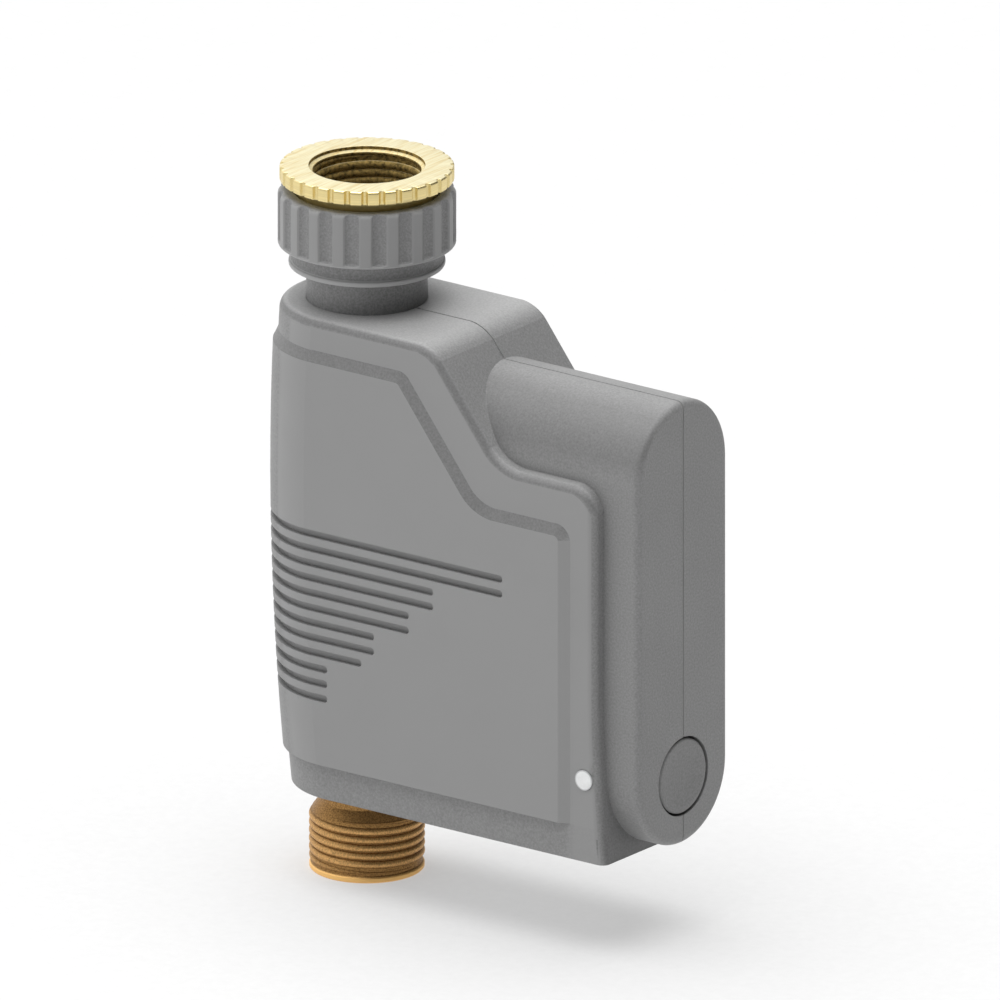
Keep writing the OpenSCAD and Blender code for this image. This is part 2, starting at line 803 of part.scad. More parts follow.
module rear_shell() {
    color(shell_grey) difference() {
        union() {
            difference() {
                intersection() {
                    outer_form();
                    half_space(true);
                }
                inner_form();
            }
            intersection() {
                collars();
                half_space(true);
            }
            saddles(1);
            pocket_wall(cassette_half - 6, body_half - wall / 2);
            for (s = screw_places) {
                rod_y(s.x, s.y, boss_r, 0, body_half - wall / 2);
                rod_y(s.x, s.y, head_boss_r, screw_seat_y - 1.4, body_half - wall / 2);
            }
            rod_y(door_x, door_screw_z, 2.8, cassette_half - 4, body_half - wall / 2);
        }
        shell_openings();
        groove_cuts([for (i = [0 : grooves - 1]) rear_groove_end], true);
        parting_groove();
        for (s = screw_places) {
            rod_y(s.x, s.y, screw_r + 3 * fit_gap, -cut, screw_seat_y + cut);
            rod_y(s.x, s.y, screw_head_r + pass_gap, screw_seat_y, panel_face + cut);
        }
        upright(cassette_half - 8, panel_face + cut) translate([door_x, opening_z])
            rounded_rect(opening_w, opening_h, pocket_corner_r);
        upright(door_ledge_y, panel_face + cut) translate([door_x, door_z])
            rounded_rect(door_w, door_h, door_corner_r);
        rod_y(door_x, door_screw_z, small_screw_r + fit_gap, cassette_half - 3, body_half);
        upright(-cut, gasket_t + fit_gap) gasket_line(gasket_in - fit_gap, gasket_w + 2 * fit_gap);
    }
}

// Side view of the whole housing at the parting plane
module parting_shape(inset) {
    intersection() {
        outline_shape(body_outline, inset, body_foot + inset);
        translate([barrel_r, barrel_z]) circle(barrel_r + body_half - inset, $fn = 360);
    }
    corner = max(bay_edge_r - inset, 0.1);
    low = bay_foot + inset;
    high = bay_top - inset;
    end_x = bay_end_x - inset;
    translate([bay_start_x, low]) square([end_x - corner - bay_start_x, high - low]);
    translate([bay_start_x, low + corner]) square([end_x - bay_start_x, high - low - 2 * corner]);
    for (z = [low + corner, high - corner]) translate([end_x - corner, z]) circle(corner);
}

// Fine groove round the parting of the two shells
module parting_groove() {
    upright(-reveal_w / 2, reveal_w / 2) difference() {
        translate([far_left, body_foot - band]) square([deep, body_h + 2 * band]);
        parting_shape(reveal_depth);
        intersection() {
            translate([barrel_r, barrel_z]) circle(barrel_r + panel_face - reveal_depth, $fn = 360);
            translate([far_left, panel_foot]) square([-far_left, panel_outline[0] - panel_bevel - panel_foot]);
        }
    }
}

module gasket_line(inset, width) {
    difference() {
        parting_shape(inset);
        parting_shape(inset + width);
        translate([-neck_r - 2.6, body_top - 8]) square([2 * neck_r + 5.2, 10]);
        translate([-lower_body_r - 1, body_foot - 2]) square([2 * lower_body_r + 2, 6]);
        translate([bay_end_x - 5, button_z - button_r - 2.4]) square([10, 2 * button_r + 4.8]);
    }
}

module housing_gasket() {
    color(black_rubber) upright(0, gasket_t) gasket_line(gasket_in, gasket_w);
}

module housing_screws() {
    color(steel) for (s = screw_places) {
        rod_y(s.x, s.y, screw_r, screw_tip_y, screw_seat_y);
        rod_y(s.x, s.y, screw_head_r, screw_seat_y, screw_seat_y + screw_head_h);
    }
}

// Inlet coupling

module inlet_adapter() {
    seat_r = 9.5;
    rim = 0.4;
    floor_z = -inlet_thread_len - washer_t;
    color(brass) difference() {
        rotate_extrude() polygon([
            [seat_r, adapter_bottom], [nut_thread_r - 1, adapter_bottom], [nut_thread_r, adapter_bottom + 1],
            [nut_thread_r, flange_bottom], [flange_r - rim, flange_bottom], [flange_r, flange_bottom + rim],
            [flange_r, flange_top - rim], [flange_r - rim, flange_top],
            [inlet_thread_r + inlet_chamfer, flange_top], [inlet_thread_r, 0],
            [inlet_thread_r, -inlet_thread_len], [inlet_thread_r + 0.3, -inlet_thread_len - 0.3],
            [inlet_thread_r + 0.3, floor_z], [seat_r, floor_z]
        ]);
        for (i = [0 : flange_notches - 1]) {
            rotate(i * 360 / flange_notches) translate([flange_r - notch_depth, -notch_w / 2, flange_bottom - cut])
                cube([notch_depth + cut, notch_w, flange_t + 2 * cut]);
        }
    }
}

module tap_washer() {
    color(black_rubber) translate([0, 0, -inlet_thread_len - washer_t])
        ring(inlet_thread_r - fit_gap, 9.5, washer_t);
}

module swivel_nut() {
    flute_r = 2.1;
    flute_depth = 1.3;
    color(dark_grey) difference() {
        rotate_extrude() polygon([
            [neck_r + pass_gap, nut_bottom], [nut_skirt_r - 1, nut_bottom], [nut_skirt_r, nut_bottom + 1],
            [nut_skirt_r, grip_bottom], [nut_r - 1.6, grip_bottom], [nut_r, grip_bottom + 1.2],
            [nut_r, nut_top - 1.2], [nut_r - 1.2, nut_top], [nut_thread_r + fit_gap, nut_top],
            [nut_thread_r + fit_gap, shelf_top], [neck_r + pass_gap, shelf_top]
        ]);
        for (i = [0 : nut_flutes - 1]) {
            rotate(i * 360 / nut_flutes) translate([nut_r + flute_r - flute_depth, 0, grip_bottom - cut / 2])
                cylinder(r = flute_r, h = nut_grip_h + cut);
        }
    }
}

module neck_washer() {
    color(black_rubber) translate([0, 0, neck_top]) ring(neck_flange_r, neck_bore_r, washer_t);
}

module filter_screen() {
    wire = 0.6;
    color(steel) translate([0, 0, neck_top - filter_t]) {
        ring(filter_r - fit_gap, filter_r - 1.4, filter_t);
        for (r = [3, 5.6]) ring(r + wire, r, wire);
        for (i = [0 : 3]) {
            rotate(i * 45) translate([-filter_r + 1, -wire / 2, 0]) cube([2 * filter_r - 2, wire, wire]);
        }
    }
}

module inlet_neck() {
    groove_z = spigot_top - 3;
    waist_r = 12;
    spigot_r = cavity_r - fit_gap;
    spigot_foot = ball_z + seat_reach;
    color(dark_grey) rotate_extrude() polygon([
        [neck_bore_r, spigot_foot], [spigot_r - 0.5, spigot_foot], [spigot_r, spigot_foot + 0.5],
        [spigot_r, groove_z - 0.7], [spigot_r - 1.25, groove_z - 0.7], [spigot_r - 1.25, groove_z + 0.7],
        [spigot_r, groove_z + 0.7], [spigot_r, spigot_top], [socket_r, spigot_top],
        [socket_r, socket_top], [neck_r, socket_top], [neck_r, socket_top + 4], [waist_r, socket_top + 6],
        [waist_r, body_top - 14], [neck_r, body_top - 12], [neck_r, neck_top - neck_flange_t],
        [neck_flange_r, neck_top - neck_flange_t], [neck_flange_r, neck_top],
        [filter_r, neck_top], [filter_r, neck_top - filter_t], [neck_bore_r, neck_top - filter_t]
    ]);
}

module o_ring(major, minor) {
    rotate_extrude() translate([major, 0]) circle(minor);
}

module neck_o_ring() {
    color(black_rubber) translate([0, 0, spigot_top - 3]) o_ring(cavity_r - fit_gap - 0.6, 0.6);
}

module neck_seal() {
    color(black_rubber) translate([0, 0, body_top - 4]) o_ring(neck_r + 0.85, 0.8);
}

// Valve

module valve_body() {
    cavity_foot = ball_z - seat_reach;
    color(acetal) difference() {
        union() {
            rotate_extrude() polygon([
                [0, body_foot + wall], [lower_body_r, body_foot + wall], [lower_body_r, ball_z - 16],
                [lower_body_r + 1.2, ball_z - 14], [lower_body_r + 1.2, ball_z + 13],
                [lower_body_r + 2.2, ball_z + 14], [lower_body_r + 2.2, socket_top], [0, socket_top]
            ]);
            across(8, stem_face_x - 8) {
                translate([0, ball_z]) circle(9);
                translate([-long_screw_y - 2.4, long_screw_z - 3]) square([2 * long_screw_y + 4.8, 6]);
                translate([-4, ear_z - 3]) square([8, long_screw_z - ear_z]);
            }
        }
        translate([0, 0, spigot_top - fit_gap]) cylinder(r = socket_r + fit_gap, h = 30);
        translate([0, 0, cavity_foot]) cylinder(r = cavity_r, h = 40);
        translate([0, 0, body_foot]) cylinder(r = outlet_bore_r, h = 60);
        translate([0, 0, body_foot]) cylinder(r = outlet_neck_r + fit_gap, h = nipple_top + fit_gap - body_foot);
        rod_x(0, ball_z, stem_r + 1.6, 10, 12.8);
        rod_x(0, ball_z, stem_r + run_gap, 12, stem_face_x + cut);
        for (y = [-1, 1]) {
            rod_x(y * long_screw_y, long_screw_z, small_screw_r + fit_gap, 9, stem_face_x + cut);
        }
        rod_x(0, ear_z, small_screw_r + fit_gap, 12, stem_face_x + cut);
    }
}

module seat(side_sign) {
    low = ball_z + (side_sign > 0 ? seat_reach - seat_depth : -seat_reach);
    difference() {
        translate([0, 0, low]) ring(cavity_r - fit_gap, 7.6, seat_depth);
        translate([0, 0, ball_z]) sphere(ball_r + run_gap);
    }
}

module upper_seat() {
    color(ptfe) seat(1);
}

module lower_seat() {
    color(ptfe) seat(-1);
}

module valve_ball() {
    tang_half = 2.1;
    color(steel) translate([0, 0, ball_z]) difference() {
        sphere(ball_r);
        translate([0, 0, -20]) cylinder(r = ball_bore_r, h = 40);
        translate([ball_r - 3.2, -tang_half, -20]) cube([10, 2 * tang_half, 40]);
    }
}

// Flat-sided drive end of the stem
module drive_section(extra) {
    intersection() {
        circle(stem_r + extra);
        square([2 * stem_r - 1.8 + 2 * extra, 4 * stem_r], center = true);
    }
}

module valve_stem() {
    groove_floor = stem_r - 1;
    color(steel) {
        translate([0, 0, ball_z]) rotate([0, 90, 0]) rotate_extrude() polygon([
            [0, 11.2], [stem_r + 1.5, 11.2], [stem_r + 1.5, 12.7], [stem_r, 12.7], [stem_r, 13.9],
            [groove_floor, 13.9], [groove_floor, 14.9], [stem_r, 14.9], [stem_r, 15.6], [groove_floor, 15.6],
            [groove_floor, 16.6], [stem_r, 16.6], [stem_r, stage_1_x - 0.4], [0, stage_1_x - 0.4]
        ]);
        translate([ball_r - 3.1, -2.05, ball_z - 4.2]) cube([11.3 - ball_r + 3.1, 4.1, 8.4]);
        across(stage_1_x - 0.5, stage_1_t + 0.8) translate([0, ball_z]) drive_section(0);
    }
}

module stem_o_rings() {
    color(black_rubber) for (x = [14.4, 16.1]) {
        translate([x, 0, ball_z]) rotate([0, 90, 0]) o_ring(stem_r - 0.5, 0.45);
    }
}

module outlet_nipple() {
    groove_in = 1;
    z1 = outlet_seal_z[0];
    z2 = outlet_seal_z[1];
    color(bronze) rotate_extrude() polygon([
        [outlet_bore_r, outlet_end], [outlet_thread_r - 0.9, outlet_end], [outlet_thread_r, outlet_end + 0.9],
        [outlet_thread_r, thread_top], [outlet_neck_r, cone_top], [outlet_neck_r, z2 - 0.7],
        [outlet_neck_r - groove_in, z2 - 0.7], [outlet_neck_r - groove_in, z2 + 0.7],
        [outlet_neck_r, z2 + 0.7], [outlet_neck_r, z1 - 0.7], [outlet_neck_r - groove_in, z1 - 0.7],
        [outlet_neck_r - groove_in, z1 + 0.7], [outlet_neck_r, z1 + 0.7], [outlet_neck_r, nipple_top],
        [outlet_bore_r, nipple_top]
    ]);
}

module outlet_o_rings() {
    color(black_rubber) for (z = outlet_seal_z) {
        translate([0, 0, z]) o_ring(outlet_neck_r - 0.48, 0.48);
    }
}

// Gear train: involute teeth, the small gears shifted out and the large ones in by the same amount

function involute(a) = tan(a) * 180 / PI - a;
function tooth_half(m, z, shift, r) =
    let (rp = m * z / 2, rb = rp * cos(pressure_angle),
        at_pitch = (90 + 2 * shift * tan(pressure_angle) * 180 / PI) / z - gear_backlash / rp * 90 / PI / 2)
    at_pitch + involute(pressure_angle) - (r > rb ? involute(acos(rb / r)) : 0);
function gear_points(m, z, shift) =
    let (rp = m * z / 2, rb = rp * cos(pressure_angle), root = rp - m * (1.25 - shift), tip = rp + m * (1 + shift),
        start = max(rb, root), radii = [for (i = [0 : 3]) start + (tip - start) * i / 3])
    [for (k = [0 : z - 1]) let (c = k * 360 / z) each concat(
        [(root - 0.02) * unit(c - tooth_half(m, z, shift, start) - 0.1)],
        [for (i = [0 : 3]) radii[i] * unit(c - tooth_half(m, z, shift, radii[i]))],
        [for (i = [3 : -1 : 0]) radii[i] * unit(c + tooth_half(m, z, shift, radii[i]))],
        [(root - 0.02) * unit(c + tooth_half(m, z, shift, start) + 0.1)]
    )];
// Turn of a gear above its neighbour, so that a gap meets the neighbour's tooth on their common line
function meshed_turn(turn, z, z_next) = 270 - (0.5 - (90 - turn) * z / 360) * 360 / z_next;

turn_output = 0;
turn_idler_1 = meshed_turn(turn_output, output_teeth, pinion_teeth);
turn_wheel_1 = 0;
turn_idler_2 = meshed_turn(turn_wheel_1, idler_1_teeth, pinion_teeth);
turn_wheel_2 = 0;
turn_motor = meshed_turn(turn_wheel_2, idler_2_teeth, pinion_teeth);

module gear(m, z, shift, turn, x0, thick, centre_z) {
    across(x0, thick) translate([0, centre_z]) rotate(turn) polygon(gear_points(m, z, shift));
}

module output_gear() {
    color(acetal) difference() {
        gear(output_module, output_teeth, -gear_shift, turn_output, stage_1_x, stage_1_t, ball_z);
        across(stage_1_x - cut, stage_1_t + 2 * cut) translate([0, ball_z]) drive_section(fit_gap);
        for (i = [0 : 5]) {
            across(stage_1_x + 1.5, stage_1_t) translate([0, ball_z]) rotate(i * 60) translate([8.6, 0]) circle(2.6);
        }
    }
}

module idler_gear_1() {
    color(acetal) difference() {
        union() {
            gear(output_module, pinion_teeth, gear_shift, turn_idler_1,
                stage_1_x, stage_2_x - stage_1_x + cut / 2, idler_1_z);
            gear(middle_module, idler_1_teeth, -gear_shift, turn_wheel_1, stage_2_x, stage_2_t, idler_1_z);
            rod_x(0, idler_1_z, 2.2, stage_2_x + cut, cover_x - pass_gap);
        }
        rod_x(0, idler_1_z, pin_r + run_gap, 0, cover_x + cut);
    }
}

module idler_gear_2() {
    color(acetal) difference() {
        union() {
            rod_x(0, idler_2_z, 2, stem_face_x + plate_t + pass_gap, stage_2_x);
            gear(middle_module, pinion_teeth, gear_shift, turn_idler_2,
                stage_2_x - pass_gap, stage_3_x - stage_2_x + cut / 2, idler_2_z);
            gear(motor_module, idler_2_teeth, -gear_shift, turn_wheel_2, stage_3_x, stage_3_t, idler_2_z);
        }
        rod_x(0, idler_2_z, pin_r + run_gap, 0, cover_x + cut);
    }
}

module motor_pinion() {
    color(brass) difference() {
        gear(motor_module, pinion_teeth, gear_shift, turn_motor, stage_3_x - pass_gap,
            stage_3_t + 2 * pass_gap, motor_z);
        rod_x(0, motor_z, shaft_r + fit_gap / 2, 0, cover_x);
    }
}

module motor_shaft() {
    color(steel) rod_x(0, motor_z, shaft_r, stage_3_x - 2 * pass_gap, motor_x + 4);
}

module idler_pins() {
    color(steel) for (z = [idler_1_z, idler_2_z]) {
        rod_x(0, z, pin_r, stem_face_x + 0.5, cover_x + plate_t);
    }
}

module gearbox_base() {
    rim_t = 1.4;
    color(dark_grey) difference() {
        union() {
            across(stem_face_x, plate_t) stadium(box_r, ball_z, box_top_z);
            across(stem_face_x, cover_x - stem_face_x) difference() {
                stadium(box_r, ball_z, box_top_z);
                stadium(box_r - rim_t, ball_z, box_top_z);
            }
            across(stem_face_x, cover_x - stem_face_x) {
                for (y = [-1, 1]) translate([y * long_screw_y, long_screw_z]) circle(1.9);
            }
            across(stem_face_x, 3) {
                translate([0, ear_z]) circle(3);
                translate([-3, ear_z]) square([6, 4]);
            }
        }
        for (y = [-1, 1]) {
            rod_x(y * long_screw_y, long_screw_z, small_screw_r + fit_gap, stem_face_x - cut, cover_x + cut);
        }
        rod_x(0, ear_z, small_screw_r + fit_gap, stem_face_x - cut, stem_face_x + 5);
        rod_x(0, ball_z, stem_r + 2 * run_gap, stem_face_x - cut, stem_face_x + plate_t + cut);
        for (z = [idler_1_z, idler_2_z]) {
            rod_x(0, z, pin_r + fit_gap / 2, stem_face_x + 0.45, stem_face_x + 5);
        }
    }
}

module motor_section(extra) {
    translate([0, motor_z]) intersection() {
        circle(motor_r + extra);
        square([3 * motor_r, 2 * (motor_half + extra)], center = true);
    }
}

module gearbox_cover() {
    color(dark_grey) difference() {
        union() {
            across(cover_x, plate_t) stadium(box_r, ball_z, box_top_z);
            across(cover_x + plate_t / 2, 5) motor_section(1.4);
        }
        across(motor_x, 6) motor_section(fit_gap);
        rod_x(0, motor_z, 2 + fit_gap, cover_x - cut, motor_x + cut);
        for (y = [-1, 1]) {
            rod_x(y * long_screw_y, long_screw_z, small_screw_r + fit_gap, cover_x - cut, motor_x + cut);
        }
        for (z = [idler_1_z, idler_2_z]) rod_x(0, z, pin_r + fit_gap / 2, cover_x - cut, motor_x + cut);
    }
}

module gearbox_screws() {
    color(steel) {
        for (y = [-1, 1]) {
            rod_x(y * long_screw_y, long_screw_z, small_screw_r, long_screw_start, motor_x);
            rod_x(y * long_screw_y, long_screw_z, small_head_r, motor_x, motor_x + small_head_h);
        }
        rod_x(0, ear_z, small_screw_r, ear_screw_start, stem_face_x + 3);
        rod_x(0, ear_z, small_head_r, stem_face_x + 3, stem_face_x + 3 + small_head_h);
    }
}

module motor() {
    color(steel) difference() {
        union() {
            across(motor_x, motor_len) motor_section(0);
            rod_x(0, motor_z, 2, cover_x + 0.4, motor_x + cut);
            rod_x(0, motor_z, 2.6, motor_x + motor_len - cut, motor_x + motor_len + 0.8);
            for (y = [-4, 4]) translate([motor_x + motor_len - cut, y - 1, motor_z - 0.2]) cube([3, 2, 0.4]);
        }
        rod_x(0, motor_z, shaft_r + run_gap, 0, motor_x + 5);
    }
}

// Battery compartment

module battery_cassette() {
    half_h = cassette_h / 2;
    color(dark_grey) translate([door_x, 0, opening_z]) {
        for (s = [0, 1]) mirror([0, 0, s]) translate([0, 0, half_h - cassette_plate])
            linear_extrude(cassette_plate) rounded_rect(cassette_w, 2 * cassette_half, 2);
        translate([-cassette_w / 2, -0.4, -half_h]) cube([cassette_w, 0.8, cassette_h]);
        for (s = [-1, 1]) {
            translate([s * (cassette_w / 2 - 0.6) - 0.6, -3, -half_h]) cube([1.2, 6, cassette_h]);
        }
    }
}

module battery_cells() {
    color(cell_jacket) for (sx = [-1, 1], sy = [-1, 1]) {
        translate([door_x + sx * cell_x, sy * cell_y, opening_z]) mirror([0, 0, sx * sy > 0 ? 1 : 0])
            translate([0, 0, -cell_len / 2]) rotate_extrude() polygon([
                [0, 0], [cell_r - 0.6, 0], [cell_r, 0.6], [cell_r, cell_len - 2.1], [cell_r - 0.6, cell_len - 1.5],
                [2.75, cell_len - 1.5], [2.75, cell_len], [0, cell_len]
            ]);
    }
}

module battery_contacts() {
    color(steel) for (sx = [-1, 1], sy = [-1, 1], end = [0, 1]) {
        translate([door_x + sx * cell_x, sy * cell_y, opening_z]) mirror([0, 0, end])
            translate([-4, -4, cell_len / 2]) cube([8, 8, contact_t]);
    }
}

module battery_door() {
    lip_y = cassette_half + 0.5;
    color(shell_grey) difference() {
        union() {
            upright(panel_face - door_t, panel_face) translate([door_x, door_z])
                rounded_rect(door_w - 2 * pass_gap, door_h - 2 * pass_gap, door_corner_r - pass_gap);
            upright(lip_y, panel_face - door_t) translate([door_x, opening_z]) difference() {
                rounded_rect(opening_w - 2 * pass_gap, opening_h - 2 * pass_gap, pocket_corner_r);
                rounded_rect(opening_w - 2 * (pass_gap + door_lip_t), opening_h - 2 * (pass_gap + door_lip_t), 0.6);
            }
        }
        rod_y(door_x, door_screw_z, small_screw_r + pass_gap, lip_y, panel_face + cut);
        rod_y(door_x, door_screw_z, small_head_r + pass_gap, panel_face - 1.1, panel_face + cut);
    }
}

module door_gasket() {
    color(black_rubber) upright(door_ledge_y, door_ledge_y + door_gasket_t) difference() {
        translate([door_x, door_z]) rounded_rect(door_w - 1, door_h - 1, door_corner_r - 0.5);
        translate([door_x, opening_z]) rounded_rect(opening_w + 0.2, opening_h + 0.2, pocket_corner_r);
        translate([door_x, door_screw_z]) circle(small_screw_r + pass_gap);
    }
}

module door_screw() {
    color(steel) {
        rod_y(door_x, door_screw_z, small_screw_r, cassette_half - 2, panel_face - 1.1);
        rod_y(door_x, door_screw_z, small_head_r, panel_face - 1.1, panel_face - 0.1);
    }
}

// Electronics

module circuit_board() {
    color(board_green) difference() {
        across(board_x, board_t) stadium(board_r, bay_foot + bay_r + 1, bay_top - bay_r - 1);
        for (z = board_post_z) {
            rod_x(board_post_y, z, board_screw_r + fit_gap, board_x - cut, board_x + board_t + cut);
        }
    }
}

module radio_module() {
    color(steel) translate([board_x - radio_size.x, radio_y, opening_z + radio_lift]) cube(radio_size);
}

module board_connectors() {
    size = connector_size;
    color(ptfe) for (z = connector_lift) translate([board_x - size.x, connector_y, opening_z + z]) difference() {
        cube(size);
        translate([-cut, connector_wall, connector_wall])
            cube([size.x - 2 * connector_wall + cut, size.y - 2 * connector_wall, size.z - 2 * connector_wall]);
    }
}

module tact_switch() {
    color(dark_grey) {
        top_x = board_x + board_t + switch_h;
        translate([board_x + board_t, -switch_w / 2, button_z - switch_w / 2]) cube([switch_h, switch_w, switch_w]);
        rod_x(0, button_z, plunger_r, top_x - cut, plunger_end);
    }
}

module status_led() {
    color(clear_light) translate([board_x - led_w, -board_r + 0.2, light_z - led_w / 2]) cube(led_w);
}

module board_screws() {
    color(steel) for (z = board_post_z) {
        rod_x(board_post_y, z, board_screw_r, board_x, board_x + board_t + board_screw_len);
        rod_x(board_post_y, z, small_head_r, board_x - small_head_h, board_x);
    }
}

module light_pipe() {
    color(clear_light) {
        rod_y(light_x, light_z, light_r, -body_half - 0.25, -body_half + wall - 0.05);
        rod_y(light_x, light_z, light_rod_r, -body_half + wall / 2, -board_r - 0.3);
    }
}

module button_cap() {
    back_x = button_back;
    rim = 1.2;
    dish_r = ((button_r - rim) * (button_r - rim) + button_dish * button_dish) / (2 * button_dish);
    color(shell_grey) difference() {
        translate([0, 0, button_z]) rotate([0, 90, 0]) rotate_extrude() polygon([
            [0, back_x - button_foot_t], [2, back_x - button_foot_t], [2, back_x], [button_r + 1.4, back_x],
            [button_r + 1.4, back_x + button_flange], [button_r, back_x + button_flange],
            [button_r, bay_end_x - button_edge], [button_r - button_edge, bay_end_x], [0, bay_end_x]
        ]);
        translate([bay_end_x + dish_r - button_dish, 0, button_z]) sphere(dish_r, $fn = 256);
    }
}

inlet_adapter();
tap_washer();
swivel_nut();
neck_washer();
filter_screen();
inlet_neck();
neck_o_ring();
neck_seal();
valve_body();
upper_seat();
lower_seat();
valve_ball();
valve_stem();
stem_o_rings();
outlet_nipple();
outlet_o_rings();
output_gear();
idler_gear_1();
idler_gear_2();
motor_pinion();
motor_shaft();
idler_pins();
gearbox_base();
gearbox_cover();
gearbox_screws();
motor();
front_shell();
rear_shell();
housing_gasket();
housing_screws();
battery_cassette();
battery_cells();
battery_contacts();
battery_door();
door_gasket();
door_screw();
circuit_board();
radio_module();
board_connectors();
tact_switch();
status_led();
board_screws();
light_pipe();
button_cap();
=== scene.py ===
import math

import bmesh
import bpy
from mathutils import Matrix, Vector


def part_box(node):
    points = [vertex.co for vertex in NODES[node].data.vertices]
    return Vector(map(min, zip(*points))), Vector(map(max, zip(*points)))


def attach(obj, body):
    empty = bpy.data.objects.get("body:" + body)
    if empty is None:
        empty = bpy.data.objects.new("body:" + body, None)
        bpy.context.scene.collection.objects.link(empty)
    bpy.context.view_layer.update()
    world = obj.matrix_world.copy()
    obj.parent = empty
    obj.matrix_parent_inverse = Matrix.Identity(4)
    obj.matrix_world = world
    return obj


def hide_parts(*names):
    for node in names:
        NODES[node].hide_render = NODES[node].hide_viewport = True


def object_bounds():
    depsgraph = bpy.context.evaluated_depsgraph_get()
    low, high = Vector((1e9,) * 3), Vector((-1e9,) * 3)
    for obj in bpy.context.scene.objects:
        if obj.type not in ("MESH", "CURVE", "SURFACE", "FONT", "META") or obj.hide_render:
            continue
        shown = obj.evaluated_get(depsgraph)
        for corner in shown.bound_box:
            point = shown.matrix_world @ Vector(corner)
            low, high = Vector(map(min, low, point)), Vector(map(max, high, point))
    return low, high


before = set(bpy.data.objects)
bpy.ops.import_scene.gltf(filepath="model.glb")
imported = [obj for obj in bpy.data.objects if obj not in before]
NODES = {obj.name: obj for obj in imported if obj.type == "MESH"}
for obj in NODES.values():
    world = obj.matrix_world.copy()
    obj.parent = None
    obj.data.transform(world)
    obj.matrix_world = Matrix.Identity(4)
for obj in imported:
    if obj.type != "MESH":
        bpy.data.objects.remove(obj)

bl_info = {
    "name": "Water timer looks",
    "version": (1, 0, 0),
    "blender": (4, 5, 0),
    "location": "3D View > Sidebar > Water timer",
    "description": "Dresses the packed water timer in its moulded plastic, brass and bronze",
    "category": "Object",
}

CAD_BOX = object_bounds()
MM = 0.001


# Levels and widths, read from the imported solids

def top_of(name):
    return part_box(name)[1].z


def foot_of(name):
    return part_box(name)[0].z


def half_width(name):
    low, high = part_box(name)
    return (high.y - low.y) / 2


PANEL_FOOT = foot_of("front_shell") + 8.3 * MM  # the raised panel's lower edge
PANEL_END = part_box("light_pipe")[0].x - 1.7 * MM  # where the panel's flat ends, beside the light
BROAD_FACE = -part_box("front_shell")[0].y - 3 * MM  # the broad faces lie further out than this, the bay less
BODY_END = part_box("front_shell")[1].x - 6.4 * MM  # just past the body's end face, and short of the bay's
JOINT_HALF = 0.21 * MM  # just over half the width of the groove between the housing's halves
GRIP_FOOT = top_of("swivel_nut") - 12.9 * MM  # the lower edge of the nut's grip

# The photograph's camera: its turn and tilt in degrees, the point at the frame's middle and the scale
VIEW_TURN, VIEW_TILT = 36.98, 18.70
VIEW_MIDDLE = Vector((37.84 * MM, 0, -71.65 * MM))
FRAME_WIDTH = 1000
PIXELS_PER_MM = 4.4


# Colours: sRGB hex in the script, linear on the sockets

def linear(hex_colour):
    """sRGB hex to the linear colour that shaders take."""
    parts = [int(hex_colour[i:i + 2], 16) / 255 for i in (1, 3, 5)]
    return [c / 12.92 if c <= 0.04045 else ((c + 0.055) / 1.055) ** 2.4 for c in parts] + [1.0]


def colour_hex(colour):
    """A linear colour as sRGB hex."""
    parts = [c * 12.92 if c <= 0.0031308 else 1.055 * c ** (1 / 2.4) - 0.055 for c in colour[:3]]
    return "#" + "".join("%02x" % round(max(0.0, min(1.0, c)) * 255) for c in parts)


def shaded(hex_colour, factor):
    """A hex colour made darker, or lighter where the factor is over 1."""
    return "#" + "".join("%02x" % min(255, round(int(hex_colour[i:i + 2], 16) * factor)) for i in (1, 3, 5))


# Node helpers

def add(tree, kind, settings=None, links=None):
    """Adds a node, gives it its settings (node attributes and socket values) and its links."""
    made = tree.nodes.new(kind)
    for key, value in (settings or {}).items():
        if isinstance(key, str) and hasattr(made, key):
            setattr(made, key, value)
        else:
            made.inputs[key].default_value = value
    for key, source in (links or {}).items():
        tree.links.new(source, made.inputs[key])
    return made


def maths(tree, operation, *values):
    """The result of a sum on values, each a number or the output that it is read from."""
    made = add(tree, "ShaderNodeMath", {"operation": operation})
    for i, value in enumerate(values):
        if isinstance(value, (int, float)):
            made.inputs[i].default_value = value
        else:
            tree.links.new(value, made.inputs[i])
    return made.outputs[0]


def between(tree, value, low, high, start=0.3, end=0.7):
    """Runs from low to high while the value goes from start to end."""
    limits = {"From Min": start, "From Max": end, "To Min": low, "To Max": high}
    return add(tree, "ShaderNodeMapRange", limits, {"Value": value}).outputs[0]


def above(tree, value, start, end):
    """0 up to start and 1 from end on."""
    return between(tree, value, 0.0, 1.0, start, end)


def below(tree, value, start, end):
    """1 up to start and 0 from end on."""
    return between(tree, value, 1.0, 0.0, start, end)


def mixed(tree, share, first, second):
    """Goes from the first colour to the second, each a hex colour or the output that it is read from."""
    made = add(tree, "ShaderNodeMix", {"data_type": "RGBA"}, {0: share})
    for socket, colour in ((6, first), (7, second)):
        if isinstance(colour, str):
            made.inputs[socket].default_value = linear(colour)
        else:
            tree.links.new(colour, made.inputs[socket])
    return made.outputs[2]


def tint(tree, value, first, second, start=0.3, end=0.7):
    """Runs between two colours while the value goes from start to end."""
    return mixed(tree, above(tree, value, start, end), first, second)


def axes(tree, vector):
    """A vector's X, Y and Z."""
    return add(tree, "ShaderNodeSeparateXYZ", None, {"Vector": vector}).outputs


def facing(tree):
    """X, Y and Z of the way that the surface faces."""
    return axes(tree, add(tree, "ShaderNodeTexCoord").outputs["Normal"])


